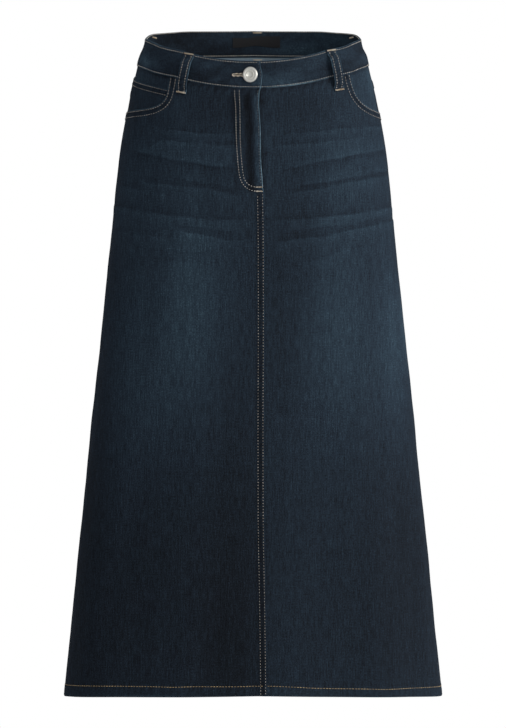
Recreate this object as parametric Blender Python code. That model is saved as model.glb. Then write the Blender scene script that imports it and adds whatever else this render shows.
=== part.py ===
"""A long denim skirt with jeans details, filled out as on a figure and open at waist and hem.

Every cloth piece is a thin closed wall laid on one shared form. A place on the form is an
angle and a height: the angle is 0 at the middle of the front, 90 at the wearer's left side,
180 at the middle of the back and -90 (or 270) at the wearer's right side. A piece is a grid
of such places with two distances out from the form, one for its face and one for its back.

Frame: origin in the middle of the waist opening, level with its side corners to 3 mm, +Z up,
the front facing -Y, +X at the wearer's left. Sizes here are in millimetres and angles in
degrees; build_mesh turns them into metres. The right front laps over the left.
"""

import math

import bmesh
import bpy
import numpy as np
from mathutils import Vector

MM = 0.001

# Cloth thicknesses and the clearance that sewn pieces keep
DENIM = 1.2
GAP = 0.3
SEAM_RAISE = 1.0  # an allowance folded under a seam lifts its face by this
SEAM_WIDTH = 10.5  # width of that allowance
ROLL = 0.5  # a seam's edge rolls down by this share of its raise

# The form: half width, and depth in front of and behind the side seams, by height
HALF_WIDTH = [
    # height, half width
    (30, 138), (0, 147.8), (-11, 149.3), (-17, 151), (-22, 153.4), (-28, 156.2), (-34, 157.9),
    (-44, 160), (-88, 170.6), (-157, 183), (-300, 198), (-600, 229.5), (-915, 261.3),
]
FRONT_DEPTH = [
    # height, depth
    (30, 96), (-45, 101), (-81, 105), (-157, 113), (-300, 119), (-600, 122), (-915, 126),
]
BACK_DEPTH = [
    # height, depth
    (30, 99), (0, 103), (-30, 110), (-100, 123), (-190, 131), (-320, 129), (-600, 126), (-915, 128),
]
SQUARENESS = 0.88  # 1 is an ellipse; less fills out the corners of the section

# Soft folds that open towards the hem
FOLD_START, FOLD_FULL = -330, -915  # heights where they begin and where they are deepest
FOLDS = [
    # angle, half spread, rise at the hem
    (-61, 9, 3.0), (-40, 9, -2.5), (-19, 8, 2.0), (24, 8, -2.0), (43, 8, 3.0), (62, 9, -2.5),
    (110, 9, 4.0), (129, 9, -5.0), (147, 9, 6.5), (165, 8, -4.5), (183, 8, 5.0),
    (201, 8, -5.0), (219, 9, 6.5), (236, 9, -4.5), (252, 9, 3.5),
]

# Edges and seams that go round the form
WAIST_EDGE = [
    # angle from the middle of the front, height of the waistband's top edge
    (0, -41.4), (6, -41.0), (12, -39.7), (17, -38.1), (23, -35.5), (28, -32.8), (34, -29.2),
    (40, -25.3), (50, -20.6), (56, -17.6), (65, -12.2), (78, -6.6), (90, -2.5), (107, 6.0),
    (127, 10.6), (141, 12.9), (180, 14.6),
]
BAND_HEIGHT = [
    # angle from the middle of the front, height of the band
    (0, 37.5), (100, 37.5), (180, 35.4),
]
HEM_EDGE = [
    # angle from the middle of the front, height of the hem
    (0, -902.0), (45, -905.5), (90, -909.0), (180, -908.5),
]
HEM_TURN = 16.0  # height of the turned-up hem
HEM_INSIDE = 3.4  # how far the folded hem reaches in from the form
HEM_RISE = 0.25  # how far the turned-up layer lifts the face
YOKE_SIDE, YOKE_CENTRE = 32.0, 68.0  # depth of the back yoke at the side and centre seams

# Centre front: the lapped fly above, the seam below it
BAND_MIDDLE = -61.0  # halfway up the band at the middle of the front
FLY_TOP = -80.0  # just under the band there
LAP_X = [
    # height, distance of the lapped edge from the middle
    (-42, 9.6), (-49, 10.4), (-60, 12.6), (-71, 11.4), (-79.5, 10.2), (-86, 8.6), (-100, 8.1),
    (-117, 9.1), (-133, 10.1), (-165, 10.6), (-182, 11.1), (-198, 12.4), (-215, 13.5),
]
SEAM_X = [
    # height, distance of the centre seam from the middle
    (-232, 15.2), (-285, 15.9), (-400, 15.1), (-540, 14.7), (-660, 14.9), (-740, 16.2),
    (-800, 17.3), (-894, 18.5),
]
LAP_END, SEAM_START = -215.0, -221.0  # the edge passes from the fly to the seam between these
ZIP_X = [(-80, 9.8), (-157, 10.8), (-215, 13.0)]  # height, line that the zip is set back from
FLY_RAISE = 1.5  # the flap lies on the left front's extension
FLAP_EASE = (23, 18)  # its raise comes in between these distances from the edge
FLAP_FOOT = (-217, -212)  # and between these heights
FLAP_ROLL = 0.6
FACING_FOOT = (-216, -200)  # the facing behind the flap adds a layer down to here
FLY_WIDTH = 35.0
EXTENSION = 9.0  # the left front reaches this far under the flap
EXTENSION_END = -208.0
CENTRE_BACK_X = 6.8

# Front pockets: where the mouth leaves the waist seam, how square its corner is
MOUTH = {
    # side: (angle at the waist seam, squareness of the curve, lowest height)
    "right": (43.5, 5.8, -104.4),
    "left": (54.1, 3.4, -105.0),
}
MOUTH_LEVEL = -90.0  # distances across a mouth are measured at this height
SCOOP_SHARES = [0.012, 0.04, 0.09, 0.16, 0.25, 0.36, 0.48, 0.6, 0.72, 0.86]  # columns across a mouth
UNDER_PANEL = [0, 3.5, 8]  # columns of what reaches under the panel, degrees in from the mouth
FACING_RISE = (0.2, 0.62)  # the facing comes up between these shares of the way into the mouth
FACING_LOW = -134.0
FACING_ROWS = [0, 0.12, 0.25, 0.38, 0.5, 0.62, 0.72, 0.85, 1]  # shares of its height
COIN_LAYER = 0.9
COIN_LEVEL = -70.0  # distances along the coin pocket's top are measured at this height
COIN_TOP_SIDE, COIN_TOP_SLOPE = -55.7, 0.235  # height at the side seam, fall along the cloth
COIN_LOW = -119.0
COIN_ROWS = [0, 0.02, 0.14, 0.17, 0.34, 0.52, 0.7, 0.85, 1]
COIN_HEM = (0.17, 0.14)  # shares of its height where its hemmed top begins to be thicker

# Panels: columns and rows
RIGHT_NEAR = [46, 39, 35, 29, 23, 18, 13.5, 12.5, 10.5, 6, 1, 0]  # distances from the right front's edge
LEFT_NEAR = [30, 22, 15, 9, 4, 1.2, 0]
INNER_COLUMNS = [14, 20, 26, 32]  # degrees in from a mouth
FRONT_ROWS = [
    # drops below the waist seam, close together at the fly's end
    0, 8, 28, 62, 98, 122, 128, 132, 135, 138, 141.5, 150, 185, 235, 300, 375, 455, 540, 625, 705, 765,
]
BACK_ROWS = [0, 35, 80, 130, 190, 260, 335, 415, 495, 575, 650, 715]
LAST_ROW_TO_TURN = 40  # about how far the hem's turn-up lies below the last of these rows

# The band's section, rounded over at the top fold
BAND_FACE = 1.05
BAND_SECTION = [
    # share of its height, face, back
    (0.0, 0.7, -1.8), (0.05, 0.9, -1.9), (0.3, BAND_FACE, -1.9), (0.65, BAND_FACE, -1.9),
    (0.93, 0.9, -1.85), (0.98, 0.5, -1.5), (1.0, -0.1, -0.9),
]

# Waistband lap, buttonhole and button
LAP_RAISE = 1.1  # the right front end rides up on the left one
LAP_SINK = 2.25  # and the left one lies this far under the band's line
LAP_COLUMNS = [-46, -42, -38, -34, -30, -20, -10, 0, 6]  # distances across of the lap's columns
LAP_EASE = (-46, -31)  # the lap comes up between these distances across
UNDER_COLUMNS = [-38, -24, -12, -3, 2, 8, 14, 20, 24]  # the left end's columns, from the lap's edge
UNDER_EASE = (22, 3)  # it goes down between these distances from the lap's edge
BUTTON_X, BUTTON_Z = -1.3, -60.7
BUTTON_RADIUS = 10.6
BUTTON_TILT = -20.0  # the band's pull turns the button's face to the wearer's right
SHANK_RADIUS = 2.0
EYELET_RADIUS = 3.5
EYELET_X = BUTTON_X - 0.5
SLIT_END_X = -27.0
SLIT_HEIGHT = 1.2
CUTTER_FRONT, CUTTER_BACK = -125.0, -85.0

# Belt loops
LOOPS = {
    # name: (angle at its top, angle at its foot, length below the waist seam, clear space behind)
    "belt_loop_front_right": (-33.2, -35.0, 19.0, 5.6),
    "belt_loop_front_left": (42.1, 44.0, 20.0, 5.6),
    "belt_loop_side_left": (110.0, 110.0, 19.0, 7.2),
    "belt_loop_centre_back": (177.6, 177.6, 5.5, 5.6),
    "belt_loop_side_right": (250.0, 250.0, 19.0, 7.2),
}
LOOP_WIDTH = 14.4
LOOP_CLOTH = 2.0
LOOP_TACK = 6.5  # each end is sewn down over this length
LOOP_FLATNESS = 6  # power of the bow: the strip leaves its ends quickly and runs straight
LOOP_REST = 0.4  # what the sewn ends keep from the cloth below
LOOP_ROUND = 0.45  # its long edges are rolled back by this

# Zip: its grid, by distance from its line and by height, and what stands out of the tapes
ZIP_COLUMNS = [-6, 2, 9.6, 10.4, 11, 11.4, 15.6, 16, 16.6, 17.4, 22, 28]
ZIP_ROWS = [
    -82.5, -85.8, -86.2, -95.8, -96.2, -112, -112.4, -130, -150, -170, -190, -199.6, -200, -203.5,
    -204, -206,
]
TAPE = 0.6
CHAIN_DEEP, STOP_DEEP, SLIDER_DEEP, TAB_PROUD = 1.9, 2.4, 2.9, 1.3

# Guard behind the zip
GUARD_COLUMNS = [-8, -5, -2, 2, 6, 12, 18, 23, 28, 33]
GUARD_TOP, GUARD_LOW = -82, -213
GUARD_FACE, GUARD_BEHIND_ZIP, GUARD_CLOTH = -2.4, 3.1, 1.92

# Woven label inside the back of the band
LABEL_X, LABEL_Z = 4.9, -1.0
LABEL_WIDTH, LABEL_HEIGHT, LABEL_CLOTH = 67.0, 15.8, 0.6

# Colours (linear), roughness and metal of the plain finishes
FINISHES = {
    "denim": ((0.006, 0.016, 0.032), 0.9, 0.0),
    "button_metal": ((0.62, 0.61, 0.58), 0.35, 1.0),
    "zip_brass": ((0.45, 0.33, 0.15), 0.4, 1.0),
    "label_black": ((0.008, 0.008, 0.009), 0.85, 0.0),
}


# ---- The form ----

def curve(rows, at):
    """Height of the smooth curve through rows of (place, value); it never overshoots a row."""
    table = np.array(sorted(rows), float)
    place, value = table[:, 0], table[:, 1]
    step = np.diff(place)
    slope = np.diff(value) / step
    tangent = np.concatenate([slope[:1], np.zeros(len(slope) - 1), slope[-1:]])
    before, after = slope[:-1], slope[1:]
    same_way = before * after > 0
    near, far = 2 * step[1:] + step[:-1], step[1:] + 2 * step[:-1]
    safe_before = np.where(same_way, before, 1)
    safe_after = np.where(same_way, after, 1)
    mean = (near + far) / (near / safe_before + far / safe_after)
    tangent[1:-1] = np.where(same_way, mean, 0)
    at = np.clip(at, place[0], place[-1])
    i = np.clip(np.searchsorted(place, at, side="right") - 1, 0, len(step) - 1)
    u = (at - place[i]) / step[i]
    rise = value[i] + u * u * (3 - 2 * u) * (value[i + 1] - value[i])
    bend = u * (1 - u) ** 2 * tangent[i] - u * u * (1 - u) * tangent[i + 1]
    return rise + step[i] * bend


def fade(x, start, end):
    """0 at start, 1 at end, level at both."""
    u = np.clip((np.asarray(x, float) - start) / (end - start), 0, 1)
    return u * u * (3 - 2 * u)


def from_front(angle):
    """Angle measured from the middle of the front either way, 0 to 180."""
    return np.abs((np.asarray(angle, float) + 180) % 360 - 180)


def folds(angle, height):
    """Distance out of the soft folds: bell-shaped ridges and hollows, deeper towards the hem."""
    turned = (np.asarray(angle, float) + 90) % 360 - 90
    depth = fade(height, FOLD_START, FOLD_FULL)
    return depth * sum(rise * np.exp(-(((turned - at) / spread) ** 2)) for at, spread, rise in FOLDS)


def place(angle, height, out):
    """Points of the form, moved out along the level normal.

    Across is half width times the sine of the angle; forward is depth times a power of the
    cosine just under one, which rounds the section's corners less than an ellipse does.
    """
    angle, height, out = np.broadcast_arrays(*(np.asarray(v, float) for v in (angle, height, out)))
    turn = np.radians(angle)
    across, ahead = np.sin(turn), np.cos(turn)
    width = curve(HALF_WIDTH, height)
    depth = np.where(ahead > 0, curve(FRONT_DEPTH, height), curve(BACK_DEPTH, height))
    face = np.where(ahead > 0, -1.0, 1.0)
    ahead = np.abs(ahead)
    normal_x = depth * SQUARENESS * across
    normal_y = face * width * ahead ** (2 - SQUARENESS)
    length = np.hypot(normal_x, normal_y)
    out = out + folds(angle, height)
    x = width * across + out * normal_x / length
    y = face * depth * ahead**SQUARENESS + out * normal_y / length
    return np.stack([x, y, height], axis=-1)


def angle_at(x, height, back=False):
    """Angle of the place that lies x to the wearer's left, in front or behind."""
    angle = np.degrees(np.arcsin(np.asarray(x, float) / curve(HALF_WIDTH, height)))
    return 180 - angle if back else angle


def side_margin(height):
    """Angle that leaves half a gap beside a side seam."""
    reach = (0.5 * GAP / curve(FRONT_DEPTH, height)) ** (1 / SQUARENESS)
    return np.degrees(np.arcsin(reach))


def waist_edge(angle):
    return curve(WAIST_EDGE, from_front(angle))


def waist_seam(angle):
    return waist_edge(angle) - curve(BAND_HEIGHT, from_front(angle))


def hem_edge(angle):
    return curve(HEM_EDGE, from_front(angle))


def yoke_seam(angle):
    """The yoke deepens evenly from the side seam to the centre back."""
    share = (from_front(angle) - 90) / 90
    return waist_seam(angle) - YOKE_SIDE - (YOKE_CENTRE - YOKE_SIDE) * share


def front_edge(height):
    """Distance across of the right front's edge: the fly's lap, then the centre seam."""
    lap = curve(LAP_X, height)
    return lap + (curve(SEAM_X, height) - lap) * fade(height, LAP_END, SEAM_START)


def along(angle_a, angle_b, height):
    """Length of the form's level section between two angles, worked out in short steps."""
    steps = np.linspace(0, 1, 33)
    angles = angle_a + (np.asarray(angle_b, float)[..., None] - angle_a) * steps
    points = place(angles, height, 0)
    return np.linalg.norm(np.diff(points, axis=-2), axis=-1).sum(axis=-1)


def mouth_share(side, angle):
    """Share of the way across a pocket mouth, from its start at the waist to the side seam."""
    start = MOUTH[side][0]
    turned = np.maximum(np.abs(np.asarray(angle, float)), start)
    return np.clip(along(start, turned, MOUTH_LEVEL) / along(start, 90, MOUTH_LEVEL), 0, 1)


def mouth_edge(side, angle):
    """Height of the front panel's top: the waist seam, then the scooped pocket mouth.

    The scoop is a rounded corner, one minus a power of the share gone towards the side.
    """
    start, square, low = MOUTH[side]
    drop = (1 - (1 - mouth_share(side, angle)) ** square) ** (1 / square)
    top = waist_seam(start)
    return np.where(np.abs(angle) <= start, waist_seam(angle), top + (low - top) * drop)


def mouth_inside(side, angle, height):
    """How far a place lies inside the pocket mouth: 0 on its edge or under the panel, to 1."""
    start, square, low = MOUTH[side]
    top = waist_seam(start)
    drop = np.clip((height - top) / (low - top), 0, 1)
    inside = 1 - ((1 - mouth_share(side, angle)) ** square + drop**square) ** (1 / square)
    return np.where(np.abs(angle) > start, np.clip(inside, 0, 1), 0)


# ---- Meshes ----

def finish(name):
    """The plain material of that name, made once."""
    if name in bpy.data.materials:
        return bpy.data.materials[name]
    colour, roughness, metal = FINISHES[name]
    material = bpy.data.materials.new(name)
    material.use_nodes = True
    shader = material.node_tree.nodes["Principled BSDF"]
    shader.inputs["Base Color"].default_value = (*colour, 1)
    shader.inputs["Roughness"].default_value = roughness
    shader.inputs["Metallic"].default_value = metal
    material.diffuse_color = (*colour, 1)
    return material


def build_mesh(name, points, faces, finish_name):
    """A named object from points in millimetres and faces, its normals turned outwards."""
    mesh = bpy.data.meshes.new(name)
    mesh.from_pydata((np.asarray(points) * MM).tolist(), [], faces)
    shell = bmesh.new()
    shell.from_mesh(mesh)
    bmesh.ops.recalc_face_normals(shell, faces=shell.faces)
    shell.to_mesh(mesh)
    shell.free()
    mesh.materials.append(finish(finish_name))
    mesh.shade_smooth()
    mesh.set_sharp_from_angle(angle=math.radians(40))
    thing = bpy.data.objects.new(name, mesh)
    bpy.context.scene.collection.objects.link(thing)
    return thing


def grid_faces(rows, columns, first=0):
    """The squares of a grid of points numbered row by row."""
    number = np.arange(rows * columns).reshape(rows, columns) + first
    corners = [number[:-1, :-1], number[:-1, 1:], number[1:, 1:], number[1:, :-1]]
    return np.stack(corners, axis=-1).reshape(-1, 4)


def wall(name, outside, inside, finish_name="denim"):
    """A closed wall: a face grid, a back grid of the same size and a strip round the edge."""
    rows, columns = outside.shape[:2]
    count = rows * columns
    number = np.arange(count).reshape(rows, columns)
    rim = np.concatenate([number[0], number[1:, -1], number[-1, -2::-1], number[-2:0:-1, 0]])
    after = np.roll(rim, -1)
    strip = np.stack([after, rim, rim + count, after + count], axis=-1)
    faces = np.concatenate([grid_faces(rows, columns), grid_faces(rows, columns, count)[:, ::-1], strip])
    points = np.concatenate([outside.reshape(-1, 3), inside.reshape(-1, 3)])
    return build_mesh(name, points, faces.tolist(), finish_name)


def cloth(name, angle, height, face, back, finish_name="denim"):
    """A wall laid on the form, from its grid of places and its two distances out."""
    return wall(name, place(angle, height, face), place(angle, height, back), finish_name)


# ---- Panels ----

def panel_rows(top, turn, drops):
    """Heights of a panel's rows: from its top to the hem's turn-up, and through the turn-up."""
    share = np.array(drops + [drops[-1] + LAST_ROW_TO_TURN])[:, None] / (drops[-1] + LAST_ROW_TO_TURN)
    upper = top + (turn - top) * share
    lower = turn - np.array([0.1, 0.55, 1])[:, None] * HEM_TURN
    return np.concatenate([upper, lower])


def hem_face(height, hem):
    """The wall's face: level, and a little proud over the turned-up hem."""
    return HEM_RISE * fade(height, hem + HEM_TURN + 1, hem + HEM_TURN - 1)


def hem_back(height, hem):
    """The wall's back: one layer, and the folded hem below."""
    return -DENIM - (HEM_INSIDE - DENIM) * fade(height, hem + HEM_TURN, hem + 0.9 * HEM_TURN)


def seam_lift(distance):
    """Lift of the face over an allowance, with a rolled edge beside the seam."""
    lift = SEAM_RAISE * fade(distance, SEAM_WIDTH + 2, SEAM_WIDTH)
    return lift - ROLL * SEAM_RAISE * fade(distance, 1.0, 0.0)


def fly_lift(distance, height):
    """Lift of the right front's face and back over the fly, by distance from the lapped edge.

    The flap rides on the extension below it; the facing behind the stitched J adds a layer.
    """
    above = fade(height, *FLAP_FOOT)
    flap = fade(distance, *FLAP_EASE)
    facing = fade(distance, FLY_WIDTH + 4, FLY_WIDTH) * fade(height, *FACING_FOOT)
    face = SEAM_RAISE * facing + (FLY_RAISE - SEAM_RAISE) * flap * above
    return face - FLAP_ROLL * fade(distance, 1.0, 0.0) * above, FLY_RAISE * flap * above


def mouth_columns(start):
    """Angles of the columns across a pocket mouth, from beside the side seam inwards."""
    return [start + (90 - start) * share for share in SCOOP_SHARES[::-1]]


def centre_columns(side, near, heights):
    """Angles of a front panel's columns near the edge; the left ones reach under the fly."""
    if side == "right":
        return angle_at(front_edge(heights) - near, heights)
    reach = (EXTENSION + GAP) * fade(heights, EXTENSION_END - 4, EXTENSION_END) * fade(near, 9, 0)
    return angle_at(front_edge(heights) + GAP + near - reach, heights)


def front_panel(side):
    """Front panel from its side seam to the centre, its top cut by the pocket mouth."""
    sign = -1 if side == "right" else 1
    start = MOUTH[side][0]
    body = [start - step for step in UNDER_PANEL + INNER_COLUMNS if start - step > 14]
    steady = sign * np.array([90.0] + mouth_columns(start) + body)
    near = np.array(RIGHT_NEAR if side == "right" else LEFT_NEAR)
    at_top = np.concatenate([steady, centre_columns(side, near, np.full(len(near), FLY_TOP))])
    top = np.where(np.abs(at_top) > start, mouth_edge(side, at_top), waist_seam(at_top)) - GAP / 2
    hem = hem_edge(at_top)
    height = panel_rows(top, hem + HEM_TURN, FRONT_ROWS)

    angle = np.tile(at_top, (len(height), 1))
    angle[:, 0] = sign * (90 - side_margin(height[:, 0]))
    angle[:, -len(near):] = centre_columns(side, near, height[:, -len(near):])

    face, back = hem_face(height, hem), hem_back(height, hem)
    if side == "right":
        distance = front_edge(height) - place(angle, height, 0)[..., 0]
        above = fade(height, SEAM_START - 3, LAP_END + 1)
        lift, back_lift = fly_lift(distance, height)
        by_fly = distance < max(RIGHT_NEAR)
        face = face + np.where(by_fly, lift * above + seam_lift(distance) * (1 - above), 0)
        back = back + np.where(by_fly, back_lift, 0)
    return cloth("front_" + side, angle, height, face, back)


def back_columns(side, height_of):
    """Angles of a back piece's columns, from the side seam to the centre seam."""
    steady = np.arange(98, 176, 6.5)
    near = np.array([SEAM_WIDTH + 2, SEAM_WIDTH, 1, 0]) if side == "right" else np.array([0.0])
    sign = -1 if side == "right" else 1
    turned = np.concatenate([[90.0], steady, np.full(len(near), 179.0)])
    at = turned if side == "left" else 360 - turned
    height = height_of(at)
    angle = np.tile(at, (len(height), 1))
    margin = side_margin(height[:, 0])
    angle[:, 0] = 90 + margin if side == "left" else 270 - margin
    x = CENTRE_BACK_X + sign * (GAP / 2 + near)
    angle[:, -len(near):] = angle_at(x, height[:, -len(near):], back=True)
    return angle, height


def centre_distance(angle, height):
    return np.abs(place(angle, height, 0)[..., 0] - CENTRE_BACK_X) - GAP / 2


def back_panel(side):
    """Back panel from its side seam to the centre back, below the yoke."""
    def heights(at):
        return panel_rows(yoke_seam(at) - GAP / 2, hem_edge(at) + HEM_TURN, BACK_ROWS)

    angle, height = back_columns(side, heights)
    hem = hem_edge(angle)
    face = hem_face(height, hem)
    if side == "right":
        face = face + seam_lift(centre_distance(angle, height))
    return cloth("back_" + side, angle, height, face, hem_back(height, hem))


def back_yoke(side):
    """Yoke between the waist seam and the back panel, lifted over the seam it laps."""
    def heights(at):
        top, low = waist_seam(at) - GAP / 2, yoke_seam(at) + GAP / 2
        upper = top + (low - top) * np.array([0.0, 0.3, 0.55])[:, None]
        lower = low + np.array([SEAM_WIDTH + 2, SEAM_WIDTH, 1.0, 0.0])[:, None]
        return np.concatenate([upper, lower])

    angle, height = back_columns(side, heights)
    face = seam_lift(height - (yoke_seam(angle) + GAP / 2))
    if side == "right":
        face = np.maximum(face, seam_lift(centre_distance(angle, height)))
    return cloth("back_yoke_" + side, angle, height, face, np.full(height.shape, -DENIM))


# ---- Pockets ----

def facing_out(side, angle, height):
    """Face of the pocket facing: low under the panel, rising to just under it in the mouth."""
    low = -DENIM - GAP
    if side == "right":
        low = low - COIN_LAYER - GAP
    high = -0.2
    return low + (high - low) * fade(mouth_inside(side, angle, height), *FACING_RISE)


def facing_columns(side, under, height_of):
    """Angles and heights of a piece behind a pocket mouth, on the front panel's own columns."""
    sign = -1 if side == "right" else 1
    start = MOUTH[side][0]
    at = sign * np.array([90.0] + mouth_columns(start) + [start - step for step in under])
    height = height_of(at)
    angle = np.tile(at, (len(height), 1))
    angle[:, 0] = sign * (90 - side_margin(height[:, 0]))
    return angle, height


def pocket_facing(side):
    """The cloth seen inside a pocket mouth, sewn in at the waist and side seams."""
    def heights(at):
        top = waist_seam(at) - GAP / 2
        return top + (FACING_LOW - top) * np.array(FACING_ROWS)[:, None]

    angle, height = facing_columns(side, UNDER_PANEL, heights)
    face = facing_out(side, angle, height)
    return cloth("pocket_facing_" + side, angle, height, face, face - DENIM)


def coin_pocket():
    """Coin pocket on the wearer's right facing, its hemmed top sloping to the panel's edge."""
    def heights(at):
        gone = np.array([float(along(-90, a, COIN_LEVEL)) for a in at])
        top = COIN_TOP_SIDE - COIN_TOP_SLOPE * gone
        return top + (COIN_LOW - top) * np.array(COIN_ROWS)[:, None]

    angle, height = facing_columns("right", UNDER_PANEL[:2], heights)
    under = facing_out("right", angle, height) + GAP
    share = (height[0] - height) / (height[0] - COIN_LOW)
    seen = fade(mouth_inside("right", angle, height), FACING_RISE[0], 0.3)
    face = under + COIN_LAYER + 0.3 * fade(share, *COIN_HEM) * seen
    return cloth("coin_pocket", angle, height, face, under)


# ---- Waistband ----

def band(name, at, shift, edge=None):
    """A length of waistband: its section carried round the form and shifted in or out.

    Where an edge is given, its last columns lean with the lapped edge of the fly.
    """
    share, face, back = (np.array(column)[:, None] for column in zip(*BAND_SECTION))
    low, top = waist_seam(at) + GAP / 2, waist_edge(at)
    height = low + (top - low) * share
    angle = np.tile(at, (len(height), 1))
    for column in (0, -1):
        if abs(from_front(at[column]) - 90) < 1e-6:
            inward = 1 if at[column] < at[1 if column == 0 else -2] else -1
            angle[:, column] = at[column] + inward * side_margin(height[:, column])
    if edge is not None:
        across = curve(HALF_WIDTH, BAND_MIDDLE) * np.sin(np.radians(angle))
        lean = (front_edge(height) - edge) * fade(across, 0, edge)
        angle = np.where(lean == 0, angle, angle_at(across + lean, BAND_MIDDLE))
    return cloth(name, angle, height, face + shift, back + shift)


def waistband():
    """The band in three lengths; its right front end laps over the left one."""
    edge = float(front_edge(BAND_MIDDLE))
    lap = np.array(LAP_COLUMNS + [edge])
    plain = np.linspace(-90, float(angle_at(-52, BAND_MIDDLE)), 15)
    right_at = np.concatenate([plain, angle_at(lap, BAND_MIDDLE)])
    raised = np.concatenate([np.zeros(15), LAP_RAISE * fade(lap, *LAP_EASE)])
    cut_buttonhole(band("waistband_front_right", right_at, raised, edge))

    under = edge + np.array(UNDER_COLUMNS)
    plain = np.linspace(float(angle_at(edge + 30, BAND_MIDDLE)), 90, 16)
    left_at = np.concatenate([angle_at(under, BAND_MIDDLE), plain])
    lowered = np.concatenate([-LAP_SINK * fade(under - edge, *UNDER_EASE), np.zeros(16)])
    band("waistband_front_left", left_at, lowered)

    band("waistband_back", np.linspace(90, 270, 37), np.zeros(37))


def cut_buttonhole(lapped):
    """Cuts a keyhole through the lapped end: a slit with a round eye for the button's shank."""
    eye = [
        (EYELET_X + EYELET_RADIUS * math.cos(turn), BUTTON_Z + EYELET_RADIUS * math.sin(turn))
        for turn in np.radians(np.linspace(170, -170, 14))
    ]
    half = SLIT_HEIGHT / 2
    outline = eye + [(SLIT_END_X, BUTTON_Z - half), (SLIT_END_X, BUTTON_Z + half)]
    count = len(outline)
    points = [(x, y, z) for y in (CUTTER_FRONT, CUTTER_BACK) for x, z in outline]
    sides = [(i, (i + 1) % count, (i + 1) % count + count, i + count) for i in range(count)]
    faces = [tuple(range(count)), tuple(range(2 * count - 1, count - 1, -1))] + sides
    cutter = build_mesh("buttonhole_cutter", points, faces, "denim")
    cutter.hide_render = True
    cutter.display_type = "WIRE"
    cut = lapped.modifiers.new("buttonhole", "BOOLEAN")
    cut.operation = "DIFFERENCE"
    cut.solver = "EXACT"
    cut.object = cutter


# Button profile: distance from its axis, distance out from the shank's foot
HEAD = [
    # radius, out
    (0.0, 0.0), (SHANK_RADIUS, 0.0), (SHANK_RADIUS, 5.9), (6.5, 6.1), (9.2, 6.4), (BUTTON_RADIUS, 7.1),
    (BUTTON_RADIUS, 7.9), (10.1, 8.6), (9.2, 9.0), (8.0, 8.95), (6.8, 9.05), (5.6, 8.9),
    (4.6, 8.3), (3.4, 7.7), (1.8, 7.3), (0.0, 7.2),
]


def button():
    """Metal shank button, turned from its profile, its foot on the left band's extension."""
    shell = bmesh.new()
    ring = [shell.verts.new((radius * MM, 0, out * MM)) for radius, out in HEAD]
    edges = [shell.edges.new(pair) for pair in zip(ring[:-1], ring[1:])]
    bmesh.ops.spin(
        shell, geom=ring + edges, cent=(0, 0, 0), axis=(0, 0, 1), angle=math.tau, steps=28,
        use_merge=True, use_duplicate=False,
    )
    bmesh.ops.remove_doubles(shell, verts=shell.verts, dist=0.00001)
    bmesh.ops.recalc_face_normals(shell, faces=shell.faces)
    mesh = bpy.data.meshes.new("button")
    shell.to_mesh(mesh)
    shell.free()
    mesh.materials.append(finish("button_metal"))
    mesh.shade_smooth()
    mesh.set_sharp_from_angle(angle=math.radians(50))
    thing = bpy.data.objects.new("button", mesh)
    bpy.context.scene.collection.objects.link(thing)
    tilt = math.radians(BUTTON_TILT)
    stand = BAND_FACE - LAP_SINK + GAP + SHANK_RADIUS * abs(math.sin(tilt))
    foot = place(angle_at(BUTTON_X, BUTTON_Z), BUTTON_Z, stand)
    thing.rotation_euler = (math.radians(90), 0, tilt)
    thing.location = Vector(foot * MM)
    return thing


# ---- Fly ----

def behind_fly(name, near, heights, face, back, finish_name):
    """A piece behind the fly: a grid by distance from the zip's line and by height."""
    height = np.tile(np.array(heights, float)[:, None], (1, len(near)))
    angle = angle_at(curve(ZIP_X, height) - np.array(near, float), height)
    return cloth(name, angle, height, face, back, finish_name)


def zip_fastener():
    """Closed zip behind the fly: tapes, chain, slider with its tab down, and bottom stop."""
    distance, height = np.meshgrid(ZIP_COLUMNS, ZIP_ROWS)
    tape_face, tape_back = -DENIM - GAP, -DENIM - GAP - TAPE
    chain = (distance > 10.9) & (distance < 16.1)
    slider = (distance > 10.2) & (distance < 17) & (height < -86) & (height > -96)
    stop = chain & (height < -199.9) & (height > -203.6)
    tab = (distance > 11.2) & (distance < 15.8) & (height < -86) & (height > -112.1)
    back = np.where(chain, tape_back - CHAIN_DEEP, tape_back)
    back = np.where(stop, tape_back - STOP_DEEP, back)
    back = np.where(slider, tape_back - SLIDER_DEEP, back)
    face = np.where(tab, tape_face + TAB_PROUD, tape_face)
    return behind_fly("zip", ZIP_COLUMNS, ZIP_ROWS, face, back, "zip_brass")


def fly_shield():
    """Folded guard behind the zip, sewn in with the left front and free at its other edge."""
    heights = np.linspace(GUARD_TOP, GUARD_LOW, 9)
    distance = np.tile(GUARD_COLUMNS, (len(heights), 1))
    behind_zip = fade(distance, -2, 6) * fade(distance, 30, 20)
    face = GUARD_FACE - GUARD_BEHIND_ZIP * behind_zip
    return behind_fly("fly_shield", GUARD_COLUMNS, heights, face, face - GUARD_CLOTH, "denim")


# ---- Belt loops and label ----

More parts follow.
